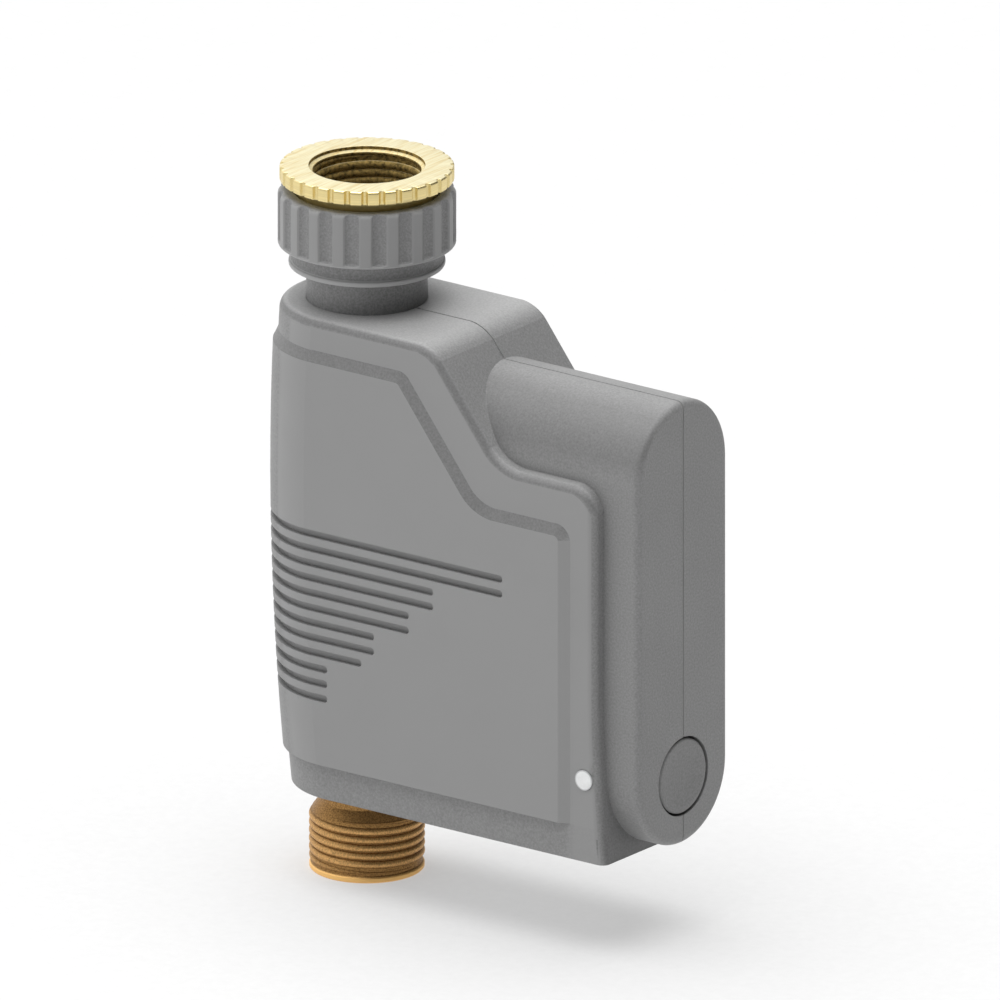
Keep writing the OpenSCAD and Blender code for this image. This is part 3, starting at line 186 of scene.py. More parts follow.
def turning(tree, place):
    """Coordinates that are the same all the way round the axis: distance from it as X, and height as Z."""
    spot = axes(tree, place)
    flat = add(tree, "ShaderNodeCombineXYZ", None, {"X": spot["X"], "Y": spot["Y"]})
    radius = add(tree, "ShaderNodeVectorMath", {"operation": "LENGTH"}, {0: flat.outputs[0]})
    return add(tree, "ShaderNodeCombineXYZ", None, {"X": radius.outputs["Value"], "Z": spot["Z"]}).outputs[0]


def grain(tree, place, size, detail=2.0, roughness=0.6):
    """A random grain whose lumps are about size metres across."""
    return add(tree, "ShaderNodeTexNoise", {"Scale": 1 / size, "Detail": detail, "Roughness": roughness},
               {"Vector": place}).outputs["Fac"]


def finish_of(name, colour, roughness, **shader):
    """A material with its principled shader and the object coordinates that patterns read."""
    mat = bpy.data.materials.new(name)
    mat.use_nodes = True
    tree = mat.node_tree
    tree.nodes.clear()
    settings = {"Base Color": linear(colour), "Roughness": roughness, **shader}
    body = add(tree, "ShaderNodeBsdfPrincipled", settings)
    add(tree, "ShaderNodeOutputMaterial", None, {"Surface": body.outputs[0]})
    return mat, tree, body, add(tree, "ShaderNodeTexCoord").outputs["Object"]


def dress(tree, body, colour=None, roughness=None):
    """Links a colour and a roughness to the shader."""
    for socket, source in (("Base Color", colour), ("Roughness", roughness)):
        if source:
            tree.links.new(source, body.inputs[socket])


def relief(tree, body, height, strength, depth, soft_edge=0.0):
    """Gives the shader a fine relief, on edges that catch the light as if rounded by soft_edge."""
    bump = add(tree, "ShaderNodeBump", {"Strength": strength, "Distance": depth}, {"Height": height})
    if soft_edge:
        edge = add(tree, "ShaderNodeBevel", {"samples": 6, "Radius": soft_edge})
        tree.links.new(edge.outputs[0], bump.inputs["Normal"])
    tree.links.new(bump.outputs[0], body.inputs["Normal"])
    return bump


# Zones of the moulded plastic, each 1 inside and 0 outside. A limit on the way that a face looks is a part of
# a unit vector

def polished_and_lit_faces(tree, place):
    """The housing's broad front and back with the raised panel's end slope, but not the set-back bay, the
    panel's upper slopes or the strip under the panel. These are left plain and lighter; the parts outside keep
    the darker pebble, partly a grained finish and partly painted shade."""
    way, spot = facing(tree), axes(tree, place)
    across, upright, endways, out = (
        maths(tree, "ABSOLUTE", part) for part in (way["Y"], way["Z"], way["X"], spot["Y"]))
    end_slope_too = maths(tree, "MULTIPLY_ADD", endways, 0.2, across)
    # Upper slopes are left out of this zone, so they keep the darker pebble: painted shade.
    but_no_upper = maths(tree, "MULTIPLY_ADD", upright, -0.4, end_slope_too)
    flat = above(tree, but_no_upper, 0.93, 0.98)
    over_strip = above(tree, spot["Z"], PANEL_FOOT - 0.1 * MM, PANEL_FOOT + 0.1 * MM)
    beyond_panel = between(tree, spot["X"], 0.0, 0.8, PANEL_END - 1.5 * MM, PANEL_END + 1.5 * MM)
    broad = above(tree, out, BROAD_FACE - 0.2 * MM, BROAD_FACE + 0.2 * MM)
    return maths(tree, "MULTIPLY", maths(tree, "MAXIMUM", over_strip, beyond_panel),
                 maths(tree, "MULTIPLY", flat, broad))


def lit_level_top(tree, place):
    """The housing's level top, round the neck, made lighter as painted light from the overhead lamp."""
    top = top_of("front_shell")
    level = above(tree, facing(tree)["Z"], 0.75, 0.97)
    return maths(tree, "MULTIPLY", level, above(tree, axes(tree, place)["Z"], top - 4 * MM, top - 3 * MM))


def painted_end_shadow(tree, place):
    """The foot of the body's end face, made darker as painted shadow where the round bay hangs over it."""
    spot, foot = axes(tree, place), foot_of("front_shell")
    endways = above(tree, facing(tree)["X"], 0.6, 0.95)
    low = below(tree, spot["Z"], foot + 5 * MM, foot + 20 * MM)
    inner = below(tree, spot["X"], BODY_END + 0.05 * MM, BODY_END + 0.2 * MM)
    return maths(tree, "MULTIPLY", maths(tree, "MULTIPLY", endways, low), inner)


def lit_joint_groove(tree, place):
    """The floor and sides of the fine groove where the two halves of the housing meet, made paler as painted
    light in the groove's shade.
    """
    out = maths(tree, "ABSOLUTE", axes(tree, place)["Y"])
    return below(tree, out, JOINT_HALF, JOINT_HALF + 0.02 * MM)


def polished_lit_ridges(tree, place):
    """The crests of the nut's grip, between its flutes, left plain and lighter: partly a polished finish and
    partly painted light, with the flutes' darker pebble partly painted shade.
    """
    crest = half_width("swivel_nut")
    return above(tree, axes(tree, turning(tree, place))["X"], crest - 0.35 * MM, crest - 0.12 * MM)


def lit_rim_lines(tree, place):
    """The grip's lower edge and, under it, the bead round the skirt's foot, made lighter as a painted
    highlight.
    """
    return below(tree, axes(tree, place)["Z"], GRIP_FOOT + 0.25 * MM, GRIP_FOOT + 0.45 * MM)


def upward_slopes(tree):
    """Faces on the front and back that lean upwards."""
    way = facing(tree)
    return maths(tree, "MINIMUM", above(tree, way["Z"], 0.08, 0.35),
                 above(tree, maths(tree, "ABSOLUTE", way["Y"]), 0.2, 0.5))


# Materials, each named for what it is and how it was made

def moulded_plastic(name, colour, darker, lump=0.5 * MM, depth=0.02 * MM, roughness=0.55, zones=(),
                    upslope_shade=1.0):
    """ABS from a spark-eroded mould: an even, fine pebble that breaks up every highlight. Each zone has its
    own two tones, and where they are one the zone is left plain, as where the mould left it polished; several
    zones paint light or shade, as said at each. Slopes that lean upwards get a darker copy of the pebble,
    painted shade that holds back the overhead lamp's light on them."""
    mat, tree, body, place = finish_of(name, colour, roughness, IOR=1.54)
    pebble = grain(tree, place, lump, 3.0)
    skin = tint(tree, pebble, darker, colour)
    # Painted shade: slopes that lean upwards take a darker copy of the pebble.
    if upslope_shade < 1:
        upslope_skin = tint(tree, pebble, shaded(darker, upslope_shade), shaded(colour, upslope_shade))
        skin = mixed(tree, upward_slopes(tree), skin, upslope_skin)
    bump = relief(tree, body, pebble, 0.6, depth, 0.25 * MM)
    plain = None
    for zone, light, dark in zones:
        inside = zone(tree, place)
        skin = mixed(tree, inside, skin, tint(tree, pebble, dark, light))
        if light == dark:
            plain = maths(tree, "MAXIMUM", inside, plain) if plain else inside
    if plain:
        tree.links.new(between(tree, plain, 0.6, 0.04, 0.0, 1.0), bump.inputs["Strength"])
    patches = grain(tree, place, 14 * MM)
    dress(tree, body, skin, between(tree, patches, roughness - 0.05, roughness + 0.05))
    return mat


def turned_metal(name, colour, shade, roughness):
    """Lathe-turned metal: fine rings round the axis, and a slow change of tone from handling."""
    mat, tree, body, place = finish_of(name, colour, roughness, Metallic=1.0)
    rings = grain(tree, turning(tree, place), 0.35 * MM, 3.0, 0.5)
    handling = grain(tree, place, 9 * MM, 4.0)
    dress(tree, body, tint(tree, handling, shade, colour, 0.3, 0.62),
          between(tree, rings, roughness * 0.75, roughness * 1.25))
    relief(tree, body, rings, 0.6, 0.01 * MM, 0.2 * MM)
    return mat


def brushed_brass(name, colour, streak, side, inside, mouth, roughness):
    """Bright brass: the flat top is brushed straight across, so it looks pale and streaked; the turned sides
    keep fine rings and take a yellower tone, painted warm bounce light; and the walls within the mouth's
    radius are dark with tarnish."""
    mat, tree, body, place = finish_of(name, colour, roughness, Metallic=1.0)
    drawn = add(tree, "ShaderNodeMapping", {
        "Rotation": (0, 0, math.radians(-12)), "Scale": (1.0, 0.045, 1.0)}, {"Vector": place})
    round_axis = turning(tree, place)
    strokes = grain(tree, drawn.outputs[0], 0.55 * MM, 3.0, 0.5)
    rings = grain(tree, round_axis, 0.3 * MM, 2.0, 0.5)
    top = above(tree, maths(tree, "ABSOLUTE", facing(tree)["Z"]), 0.75, 0.97)
    marks = add(tree, "ShaderNodeMix", {"data_type": "FLOAT"}, {0: top, 2: rings, 3: strokes}).outputs[0]
    outer = above(tree, axes(tree, round_axis)["X"], mouth - 0.02 * MM, mouth + 0.02 * MM)
    bright = tint(tree, strokes, streak, colour, 0.3, 0.55)
    # The sides' yellower tone is painted warm bounce light.
    turned = tint(tree, rings, shaded(side, 0.94), side, 0.35, 0.6)
    spots = grain(tree, place, 0.8 * MM, 4.0)
    tarnish = tint(tree, spots, shaded(inside, 0.7), shaded(inside, 1.15), 0.35, 0.6)
    polish = add(tree, "ShaderNodeMix", {"data_type": "FLOAT", 2: 0.75}, {
        0: outer, 3: between(tree, marks, roughness * 0.85, roughness * 1.15)})
    dress(tree, body, mixed(tree, top, mixed(tree, outer, tarnish, turned), bright), polish.outputs[0])
    relief(tree, body, marks, 0.5, 0.012 * MM, 0.25 * MM)
    return mat


def blasted_bronze(name, colour, dull_and_shade, root, crest, roughness):
    """Bronze with a bead-blasted skin: matt, with a fine sandy speckle. The thread's crests are lighter,
    partly rubbed; the valleys and the neck are darker, partly their own finish and partly painted shade under
    the housing; and the band at the mouth gets the brightest tone, a painted highlight."""
    mat, tree, body, place = finish_of(name, colour, roughness, Metallic=1.0)
    sand = grain(tree, place, 0.35 * MM, 4.0)
    mouth = foot_of("outlet_nipple")
    # The darker tone under the crests, on the valleys and the neck, is partly painted shade; the band at the
    # mouth gets a painted highlight.
    ridge = above(tree, axes(tree, turning(tree, place))["X"], root + 0.2 * MM, crest - 0.05 * MM)
    painted_rim = below(tree, axes(tree, place)["Z"], mouth + 1.2 * MM, mouth + 1.45 * MM)
    high = tint(tree, sand, shaded(colour, 0.76), colour, 0.35, 0.6)
    low = tint(tree, sand, shaded(dull_and_shade, 0.7), dull_and_shade, 0.35, 0.6)
    dress(tree, body, mixed(tree, painted_rim, mixed(tree, ridge, low, high), shaded(colour, 1.16)),
          between(tree, sand, roughness * 1.15, roughness * 0.9))
    relief(tree, body, sand, 0.5, 0.035 * MM, 0.2 * MM)
    return mat


def soft_rubber(name, colour, bloom_colour):
    """Moulded rubber: matt, with a bloom that greys it a little."""
    mat, tree, body, place = finish_of(name, colour, 0.75, IOR=1.52)
    dress(tree, body, tint(tree, grain(tree, place, 3 * MM, 3.0), colour, bloom_colour))
    relief(tree, body, grain(tree, place, 0.3 * MM), 0.4, 0.02 * MM)
    return mat


def plain_plastic(name, colour, shade, roughness, lump=1.2 * MM):
    """Machined or polished-mould plastic: smooth, with a faint cloudiness under the surface."""
    mat, tree, body, place = finish_of(name, colour, roughness, IOR=1.48)
    dress(tree, body, tint(tree, grain(tree, place, lump * 5), shade, colour))
    relief(tree, body, grain(tree, place, lump), 0.3, 0.01 * MM)
    return mat


def laminate(name, colour, shade):
    """Glass-fibre board under green solder mask: copper tracks lift the mask in a fine pattern."""
    mat, tree, body, place = finish_of(name, colour, 0.32, IOR=1.55)
    upright = add(tree, "ShaderNodeMapping", {"Rotation": (0, math.radians(90), 0)}, {"Vector": place})
    tracks = add(tree, "ShaderNodeTexBrick", {
        "Scale": 260.0, "Color1": linear(colour), "Color2": linear(colour), "Mortar": linear(shade),
        "Mortar Size": 0.06, "Bias": 0.0}, {"Vector": upright.outputs[0]})
    dress(tree, body, tracks.outputs["Color"])
    relief(tree, body, tracks.outputs["Fac"], 0.5, 0.03 * MM)
    return mat


def light_guide(name, colour, rim_shade_colour):
    """Milky moulded acrylic over the lamp: bright, slightly soft, with a clear glossy skin and a greyer ring
    at its edge, painted shade for the gap and the edge that turns away."""
    mat, tree, body, place = finish_of(name, colour, 0.3, **{
        "IOR": 1.49, "Subsurface Weight": 0.2, "Subsurface Radius": (0.8 * MM, 0.8 * MM, 0.8 * MM),
        "Coat Weight": 0.4})
    low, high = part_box("light_pipe")
    centre = ((low.x + high.x) / 2, 0, (low.z + high.z) / 2)
    radius = (high.x - low.x) / 2
    away = add(tree, "ShaderNodeVectorMath", {"operation": "SUBTRACT", 1: centre}, {0: place})
    flat = add(tree, "ShaderNodeVectorMath", {"operation": "MULTIPLY", 1: (1, 0, 1)}, {0: away.outputs[0]})
    reach = add(tree, "ShaderNodeVectorMath", {"operation": "LENGTH"}, {0: flat.outputs[0]})
    # Painted shade: a greyer ring at the guide's edge.
    painted_rim = above(tree, reach.outputs["Value"], radius - 0.4 * MM, radius - 0.15 * MM)
    milk = tint(tree, grain(tree, place, 1.5 * MM), shaded(colour, 0.95), colour)
    dress(tree, body, mixed(tree, painted_rim, milk, rim_shade_colour))
    return mat


MATERIALS = {}


def material(key):
    """The material of a key, made when it is first asked for."""
    looks = bpy.context.scene.timer_looks
    grey = colour_hex(looks.housing_colour)
    outlet_r = half_width("outlet_nipple")
    # The ridge tone is partly painted light; the edge-line tone is a painted highlight; the joint tone is
    # painted light in the groove's shade.
    lit_ridge_tone, rim_highlight_tone, joint_groove_light = shaded(grey, 1.01), shaded(grey, 1.12), "#a8a8a8"
    makers = {
        # Housing zones: lighter smooth broad faces against darker pebble, partly finish and partly painted
        # shade; a lighter level top, painted light; a darker end foot, painted shadow; a paler joint groove,
        # painted light.
        "housing": lambda: moulded_plastic(
            "spark-eroded grey ABS", shaded(grey, 0.99), shaded(grey, 0.85), upslope_shade=0.87,
            zones=[(polished_and_lit_faces, grey, grey), (lit_level_top, shaded(grey, 1.17), shaded(grey, 1.03)),
                   (painted_end_shadow, shaded(grey, 0.82), shaded(grey, 0.68)),
                   (lit_joint_groove, joint_groove_light, joint_groove_light)]),
        # Nut zones: lighter plain crests, partly polish and partly painted light; lighter edge lines, painted
        # highlight.
        "nut": lambda: moulded_plastic(
            "moulded grey nut plastic", shaded(grey, 0.99), shaded(grey, 0.84), roughness=0.5,
            zones=[(polished_lit_ridges, lit_ridge_tone, lit_ridge_tone), (lit_rim_lines, rim_highlight_tone, rim_highlight_tone)]),
        "button": lambda: moulded_plastic(
            "moulded grey button plastic", shaded(grey, 0.94), shaded(grey, 0.8)),
        "neck": lambda: moulded_plastic(
            "moulded dark grey pipe plastic", shaded(grey, 0.96), shaded(grey, 0.76), roughness=0.5),
        "inner": lambda: moulded_plastic(
            "moulded inner grey nylon", "#5c5d5f", "#4c4d4f", lump=0.6 * MM, depth=0.01 * MM, roughness=0.5),
        "brass": lambda: brushed_brass(
            "brushed bright brass", "#f9f1cb", "#efd99c", "#f0dda0", "#a8925c", 13.3 * MM, 0.38),
        "bronze": lambda: blasted_bronze(
            "blasted bronze", "#e3b475", "#b18853", outlet_r - looks.thread_depth, outlet_r, 0.5),
        "steel": lambda: turned_metal("machined stainless steel", "#c9cbcc", "#b4b7b9", 0.28),
        "rubber": lambda: soft_rubber("moulded nitrile rubber", "#151515", "#2b2b2a"),
        "grey rubber": lambda: soft_rubber("moulded grey gasket rubber", "#7a7b7d", "#6c6d6f"),
        "acetal": lambda: plain_plastic("natural acetal", "#eae6da", "#dcd7c8", 0.35),
        "ptfe": lambda: plain_plastic("skived fluoropolymer", "#f3f3ef", "#e6e6e2", 0.45),
        "jacket": lambda: plain_plastic("shrunk cell jacket", "#3b3f46", "#31353b", 0.22, 2 * MM),
        "board": lambda: laminate("solder-masked board", "#1f6a3c", "#2f8450"),
        "guide": lambda: light_guide("milky acrylic light guide", "#f6f7f7", "#c4c5c6"),
    }
    if key not in MATERIALS:
        MATERIALS[key] = makers[key]()
    return MATERIALS[key]


def paint(name, key):
    """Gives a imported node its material."""
    node = NODES[name]
    mat = material(key)
    if not node.material_slots:
        node.data.materials.append(mat)
    for held in node.material_slots:
        held.link = "OBJECT"
        held.material = mat


# Mesh helpers

def revolve(name, profile, angles, shape=None):
    """Closed ring mesh: a closed profile of (radius, z) turned round Z; shape may change a radius by angle."""
    bm = bmesh.new()
    rings = []
    for a in angles:
        ring = []
        for r, z in profile:
            out = shape(r, z, a) if shape else r
            ring.append(bm.verts.new((out * math.cos(a), out * math.sin(a), z)))
        rings.append(ring)
    count = len(profile)
    for i, ring in enumerate(rings):
        after = rings[(i + 1) % len(rings)]
        for k in range(count):
            bm.faces.new((ring[k], after[k], after[(k + 1) % count], ring[(k + 1) % count]))
    bmesh.ops.remove_doubles(bm, verts=bm.verts, dist=1e-7)
    bmesh.ops.recalc_face_normals(bm, faces=bm.faces)
    mesh = bpy.data.meshes.new(name)
    bm.to_mesh(mesh)
    bm.free()
    return mesh


def piece(name, mesh, body, mat_key, stands_for=(), smooth=35):
    """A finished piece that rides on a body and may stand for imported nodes."""
    made = bpy.data.objects.new(name, mesh)
    bpy.context.scene.collection.objects.link(made)
    if not mesh.materials:
        mesh.materials.append(material(mat_key))
    smooth_by_angle(mesh, smooth)
    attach(made, body)
    if stands_for:
        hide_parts(*stands_for)
    return made


def smooth_by_angle(mesh, degrees):
    """Smooth shading, with edges sharper than the angle kept crisp."""
    mesh.polygons.foreach_set("use_smooth", [True] * len(mesh.polygons))
    bm = bmesh.new()
    bm.from_mesh(mesh)
    for edge in bm.edges:
        edge.smooth = len(edge.link_faces) == 2 and edge.calc_face_angle(0) < math.radians(degrees)
    bm.to_mesh(mesh)
    bm.free()


def arc(cx, cz, r, start, end, steps):
    """Points of a profile's fillet, from one angle to another."""
    return [(cx + r * math.cos(math.radians(start + (end - start) * i / steps)),
             cz + r * math.sin(math.radians(start + (end - start) * i / steps))) for i in range(steps + 1)]


def even(count):
    """Angles that share a turn evenly."""
    return [2 * math.pi * i / count for i in range(count)]


def mm(points):
    """A profile in millimetres as one in metres."""
    return [(r * MM, z * MM) for r, z in points]


# Geometry Nodes: a tree with named inputs, run once and turned into a plain mesh

def node_tree(name, inputs):
    """An empty tree with its inputs, each a label, a socket type and a value."""
    tree = bpy.data.node_groups.new(name, "GeometryNodeTree")
    for label, kind, value in inputs:
        made = tree.interface.new_socket(label, in_out="INPUT", socket_type=kind)
        if value is not None:
            made.default_value = value
    tree.interface.new_socket("Geometry", in_out="OUTPUT", socket_type="NodeSocketGeometry")
    source = add(tree, "NodeGroupInput")
    return tree, source


def end_tree(tree, geometry, source):
    """Makes the tree's instances real, gives them the material and sends them out."""
    real = add(tree, "GeometryNodeRealizeInstances", None, {"Geometry": geometry})
    dressed = add(tree, "GeometryNodeSetMaterial", None,
                  {"Geometry": real.outputs[0], "Material": source.outputs["Material"]})
    add(tree, "NodeGroupOutput", None, {"Geometry": dressed.outputs[0]})


def grown(name, tree, values, base=None):
    """Runs a tree on a base mesh and returns the result as a plain mesh."""
    holder = bpy.data.objects.new(name, base or bpy.data.meshes.new(name + "_base"))
    bpy.context.scene.collection.objects.link(holder)
    run = holder.modifiers.new("grow", "NODES")
    run.node_group = tree
    for socket in tree.interface.items_tree:
        if socket.item_type == "SOCKET" and socket.in_out == "INPUT" and socket.name in values:
            run[socket.identifier] = values[socket.name]
    bpy.context.view_layer.update()
    ready = holder.evaluated_get(bpy.context.evaluated_depsgraph_get())
    mesh = bpy.data.meshes.new_from_object(ready)
    mesh.name = name
    bpy.data.objects.remove(holder)
    return mesh


def thread_tree():
    """A single-start thread: a rounded ridge swept along a helix, fading in and out at its ends."""
    fade, least_size, point_power = 0.07, 0.15, 1.5
    tree, source = node_tree("thread ridge", [
        ("Radius", "NodeSocketFloat", 12 * MM), ("Pitch", "NodeSocketFloat", 2 * MM),
        ("Length", "NodeSocketFloat", 10 * MM), ("Ridge Width", "NodeSocketFloat", 1.2 * MM),
        ("Depth", "NodeSocketFloat", 1 * MM), ("Material", "NodeSocketMaterial", None)])
    turns = maths(tree, "DIVIDE", source.outputs["Length"], source.outputs["Pitch"])
    helix = add(tree, "GeometryNodeCurveSpiral", {"Resolution": 72}, {
        "Rotations": turns, "Start Radius": source.outputs["Radius"],
        "End Radius": source.outputs["Radius"], "Height": source.outputs["Length"]})
    upright = add(tree, "GeometryNodeSetCurveNormal", {"mode": "Z_UP"}, {"Curve": helix.outputs[0]})
    along = add(tree, "GeometryNodeSplineParameter").outputs["Factor"]
    ends = maths(tree, "MINIMUM", above(tree, along, 0.0, fade), below(tree, along, 1.0 - fade, 1.0))
    size = maths(tree, "MAXIMUM", ends, least_size)
    sized = add(tree, "GeometryNodeSetCurveRadius", None, {"Curve": upright.outputs[0], "Radius": size})
    ring = add(tree, "GeometryNodeCurvePrimitiveCircle", {"Resolution": 20, "Radius": 1.0})
    point = axes(tree, add(tree, "GeometryNodeInputPosition").outputs[0])
    lean = maths(tree, "POWER", maths(tree, "ABSOLUTE", point["X"]), point_power)
    peak = maths(tree, "MULTIPLY", lean, maths(tree, "SIGN", point["X"]))
    spot = add(tree, "ShaderNodeCombineXYZ", None, {"X": peak, "Y": point["Y"]})
    section = add(tree, "GeometryNodeSetPosition", None,
                  {"Geometry": ring.outputs[0], "Position": spot.outputs[0]})
    spread = add(tree, "ShaderNodeCombineXYZ", {"Z": 1.0}, {
        "X": source.outputs["Depth"], "Y": maths(tree, "MULTIPLY", source.outputs["Ridge Width"], 0.5)})
    oval = add(tree, "GeometryNodeTransform", None,
               {"Geometry": section.outputs[0], "Scale": spread.outputs[0]})
    swept = add(tree, "GeometryNodeCurveToMesh", {"Fill Caps": True},
                {"Curve": sized.outputs[0], "Profile Curve": oval.outputs[0], "Scale": size})
    end_tree(tree, swept.outputs[0], source)
    return tree


def thread(name, body, key, root, foot, reach):
    """A thread's ridge as a piece, on its root's radius and from its foot up by its reach, in millimetres."""
    looks, ridge_share = bpy.context.scene.timer_looks, 0.94
    ridge = grown(name, thread_tree(), {
        "Radius": root * MM, "Pitch": looks.thread_pitch, "Length": reach * MM,
        "Ridge Width": looks.thread_pitch * ridge_share, "Depth": looks.thread_depth,
        "Material": material(key)})
    for v in ridge.vertices:
        v.co.z += foot * MM
    piece(name, ridge, body, key, smooth=40)


def screw_tree():
    """Pan heads with a cross recess, one on each point of the base mesh."""
    tree, source = node_tree("screw heads", [
        ("Geometry", "NodeSocketGeometry", None), ("Head Radius", "NodeSocketFloat", 2.7 * MM),
        ("Head Height", "NodeSocketFloat", 2 * MM), ("Slot Width", "NodeSocketFloat", 0.8 * MM),
        ("Slot Length", "NodeSocketFloat", 3 * MM), ("Facing", "NodeSocketVector", (0, 0, 0)),
        ("Material", "NodeSocketMaterial", None)])
    dome = add(tree, "GeometryNodeMeshUVSphere", {"Segments": 48, "Rings": 24},
               {"Radius": source.outputs["Head Radius"]})
    flat = maths(tree, "DIVIDE", source.outputs["Head Height"], source.outputs["Head Radius"])
    squeeze = add(tree, "ShaderNodeCombineXYZ", {"X": 1.0, "Y": 1.0}, {"Z": flat})
    low = add(tree, "GeometryNodeTransform", None, {"Geometry": dome.outputs[0], "Scale": squeeze.outputs[0]})
    lift = add(tree, "ShaderNodeCombineXYZ", None, {"Z": source.outputs["Head Height"]})
    bars = add(tree, "GeometryNodeJoinGeometry")
    for along, across in ("XY", "YX"):
        size = add(tree, "ShaderNodeCombineXYZ", None, {
            along: source.outputs["Slot Length"], across: source.outputs["Slot Width"],
            "Z": source.outputs["Head Height"]})
        bar = add(tree, "GeometryNodeMeshCube", None, {"Size": size.outputs[0]})
        tree.links.new(bar.outputs[0], bars.inputs[0])
    raised = add(tree, "GeometryNodeTransform", None,
                 {"Geometry": bars.outputs[0], "Translation": lift.outputs[0]})
    cut = add(tree, "GeometryNodeMeshBoolean",
              {"operation": "DIFFERENCE", "solver": "EXACT", "Self Intersection": True},
              {"Mesh 1": low.outputs[0], "Mesh 2": raised.outputs[0]})
    spread = add(tree, "GeometryNodeInstanceOnPoints", None, {
        "Points": source.outputs["Geometry"], "Instance": cut.outputs[0],
        "Rotation": source.outputs["Facing"]})
    end_tree(tree, spread.outputs[0], source)
    return tree


def gauze_tree():
    """Woven strainer gauze: crossed round wires, trimmed to a disc."""
    tree, source = node_tree("strainer gauze", [
        ("Radius", "NodeSocketFloat", 8 * MM), ("Wires", "NodeSocketInt", 18),
        ("Wire Radius", "NodeSocketFloat", 0.1 * MM), ("Height", "NodeSocketFloat", 0.0),
        ("Material", "NodeSocketMaterial", None)])
    width = maths(tree, "MULTIPLY", source.outputs["Radius"], 2.0)
    net = add(tree, "GeometryNodeMeshGrid", None, {
        "Size X": width, "Size Y": width,
        "Vertices X": source.outputs["Wires"], "Vertices Y": source.outputs["Wires"]})
    spot = add(tree, "GeometryNodeInputPosition")
    reach = add(tree, "ShaderNodeVectorMath", {"operation": "LENGTH"}, {0: spot.outputs[0]})
    outside = add(tree, "FunctionNodeCompare", {"operation": "GREATER_THAN"},
                  {"A": reach.outputs["Value"], "B": source.outputs["Radius"]})
    disc = add(tree, "GeometryNodeDeleteGeometry", {"domain": "POINT"},
               {"Geometry": net.outputs[0], "Selection": outside.outputs[0]})
    wires = add(tree, "GeometryNodeMeshToCurve", None, {"Mesh": disc.outputs[0]})
    section = add(tree, "GeometryNodeCurvePrimitiveCircle", {"Resolution": 6},
                  {"Radius": source.outputs["Wire Radius"]})
    swept = add(tree, "GeometryNodeCurveToMesh", {"Fill Caps": True},
                {"Curve": wires.outputs[0], "Profile Curve": section.outputs[0]})
    lift = add(tree, "ShaderNodeCombineXYZ", None, {"Z": source.outputs["Height"]})
    placed = add(tree, "GeometryNodeTransform", None,
                 {"Geometry": swept.outputs[0], "Translation": lift.outputs[0]})
    end_tree(tree, placed.outputs[0], source)
    return tree


# Sizes and colours a user may change

def length(label, words, value):
    """A size in metres that the panel shows."""
    return bpy.props.FloatProperty(
        name=label, description=words, default=value, unit="LENGTH", precision=5, min=0.0)


class TimerLooks(bpy.types.PropertyGroup):
    """Sizes and colours of the pieces"""
    housing_colour: bpy.props.FloatVectorProperty(
        name="Housing colour", description="Colour of the moulded grey housing, nut and button",
        subtype="COLOR", size=4, min=0.0, max=1.0, default=linear("#949494"))
    thread_pitch: length("Thread pitch", "Distance from one thread ridge to the next", 1.96 * MM)
    thread_depth: length("Thread depth", "Height of a thread ridge over its root", 0.62 * MM)
    notch_width: length("Flange notch width", "Width of a notch in the brass flange", 1.3 * MM)
    notch_depth: length("Flange notch depth", "Depth of a notch in the brass flange", 0.9 * MM)
    notch_count: bpy.props.IntProperty(
        name="Flange notches", description="Notches round the brass flange", default=31, min=12, max=60)
    flute_count: bpy.props.IntProperty(
        name="Nut flutes", description="Flutes round the swivel nut", default=20, min=8, max=40)
    flute_radius: length("Flute radius", "Radius of a flute in the swivel nut", 2.4 * MM)
    flute_depth: length("Flute depth", "Depth of a flute in the swivel nut", 1.05 * MM)
    gauze_wires: bpy.props.IntProperty(
        name="Gauze wires", description="Wires each way across the strainer", default=20, min=6, max=60)
    gauze_wire: length("Gauze wire", "Radius of a wire of the strainer", 0.11 * MM)


# One operator for each piece or group of like pieces

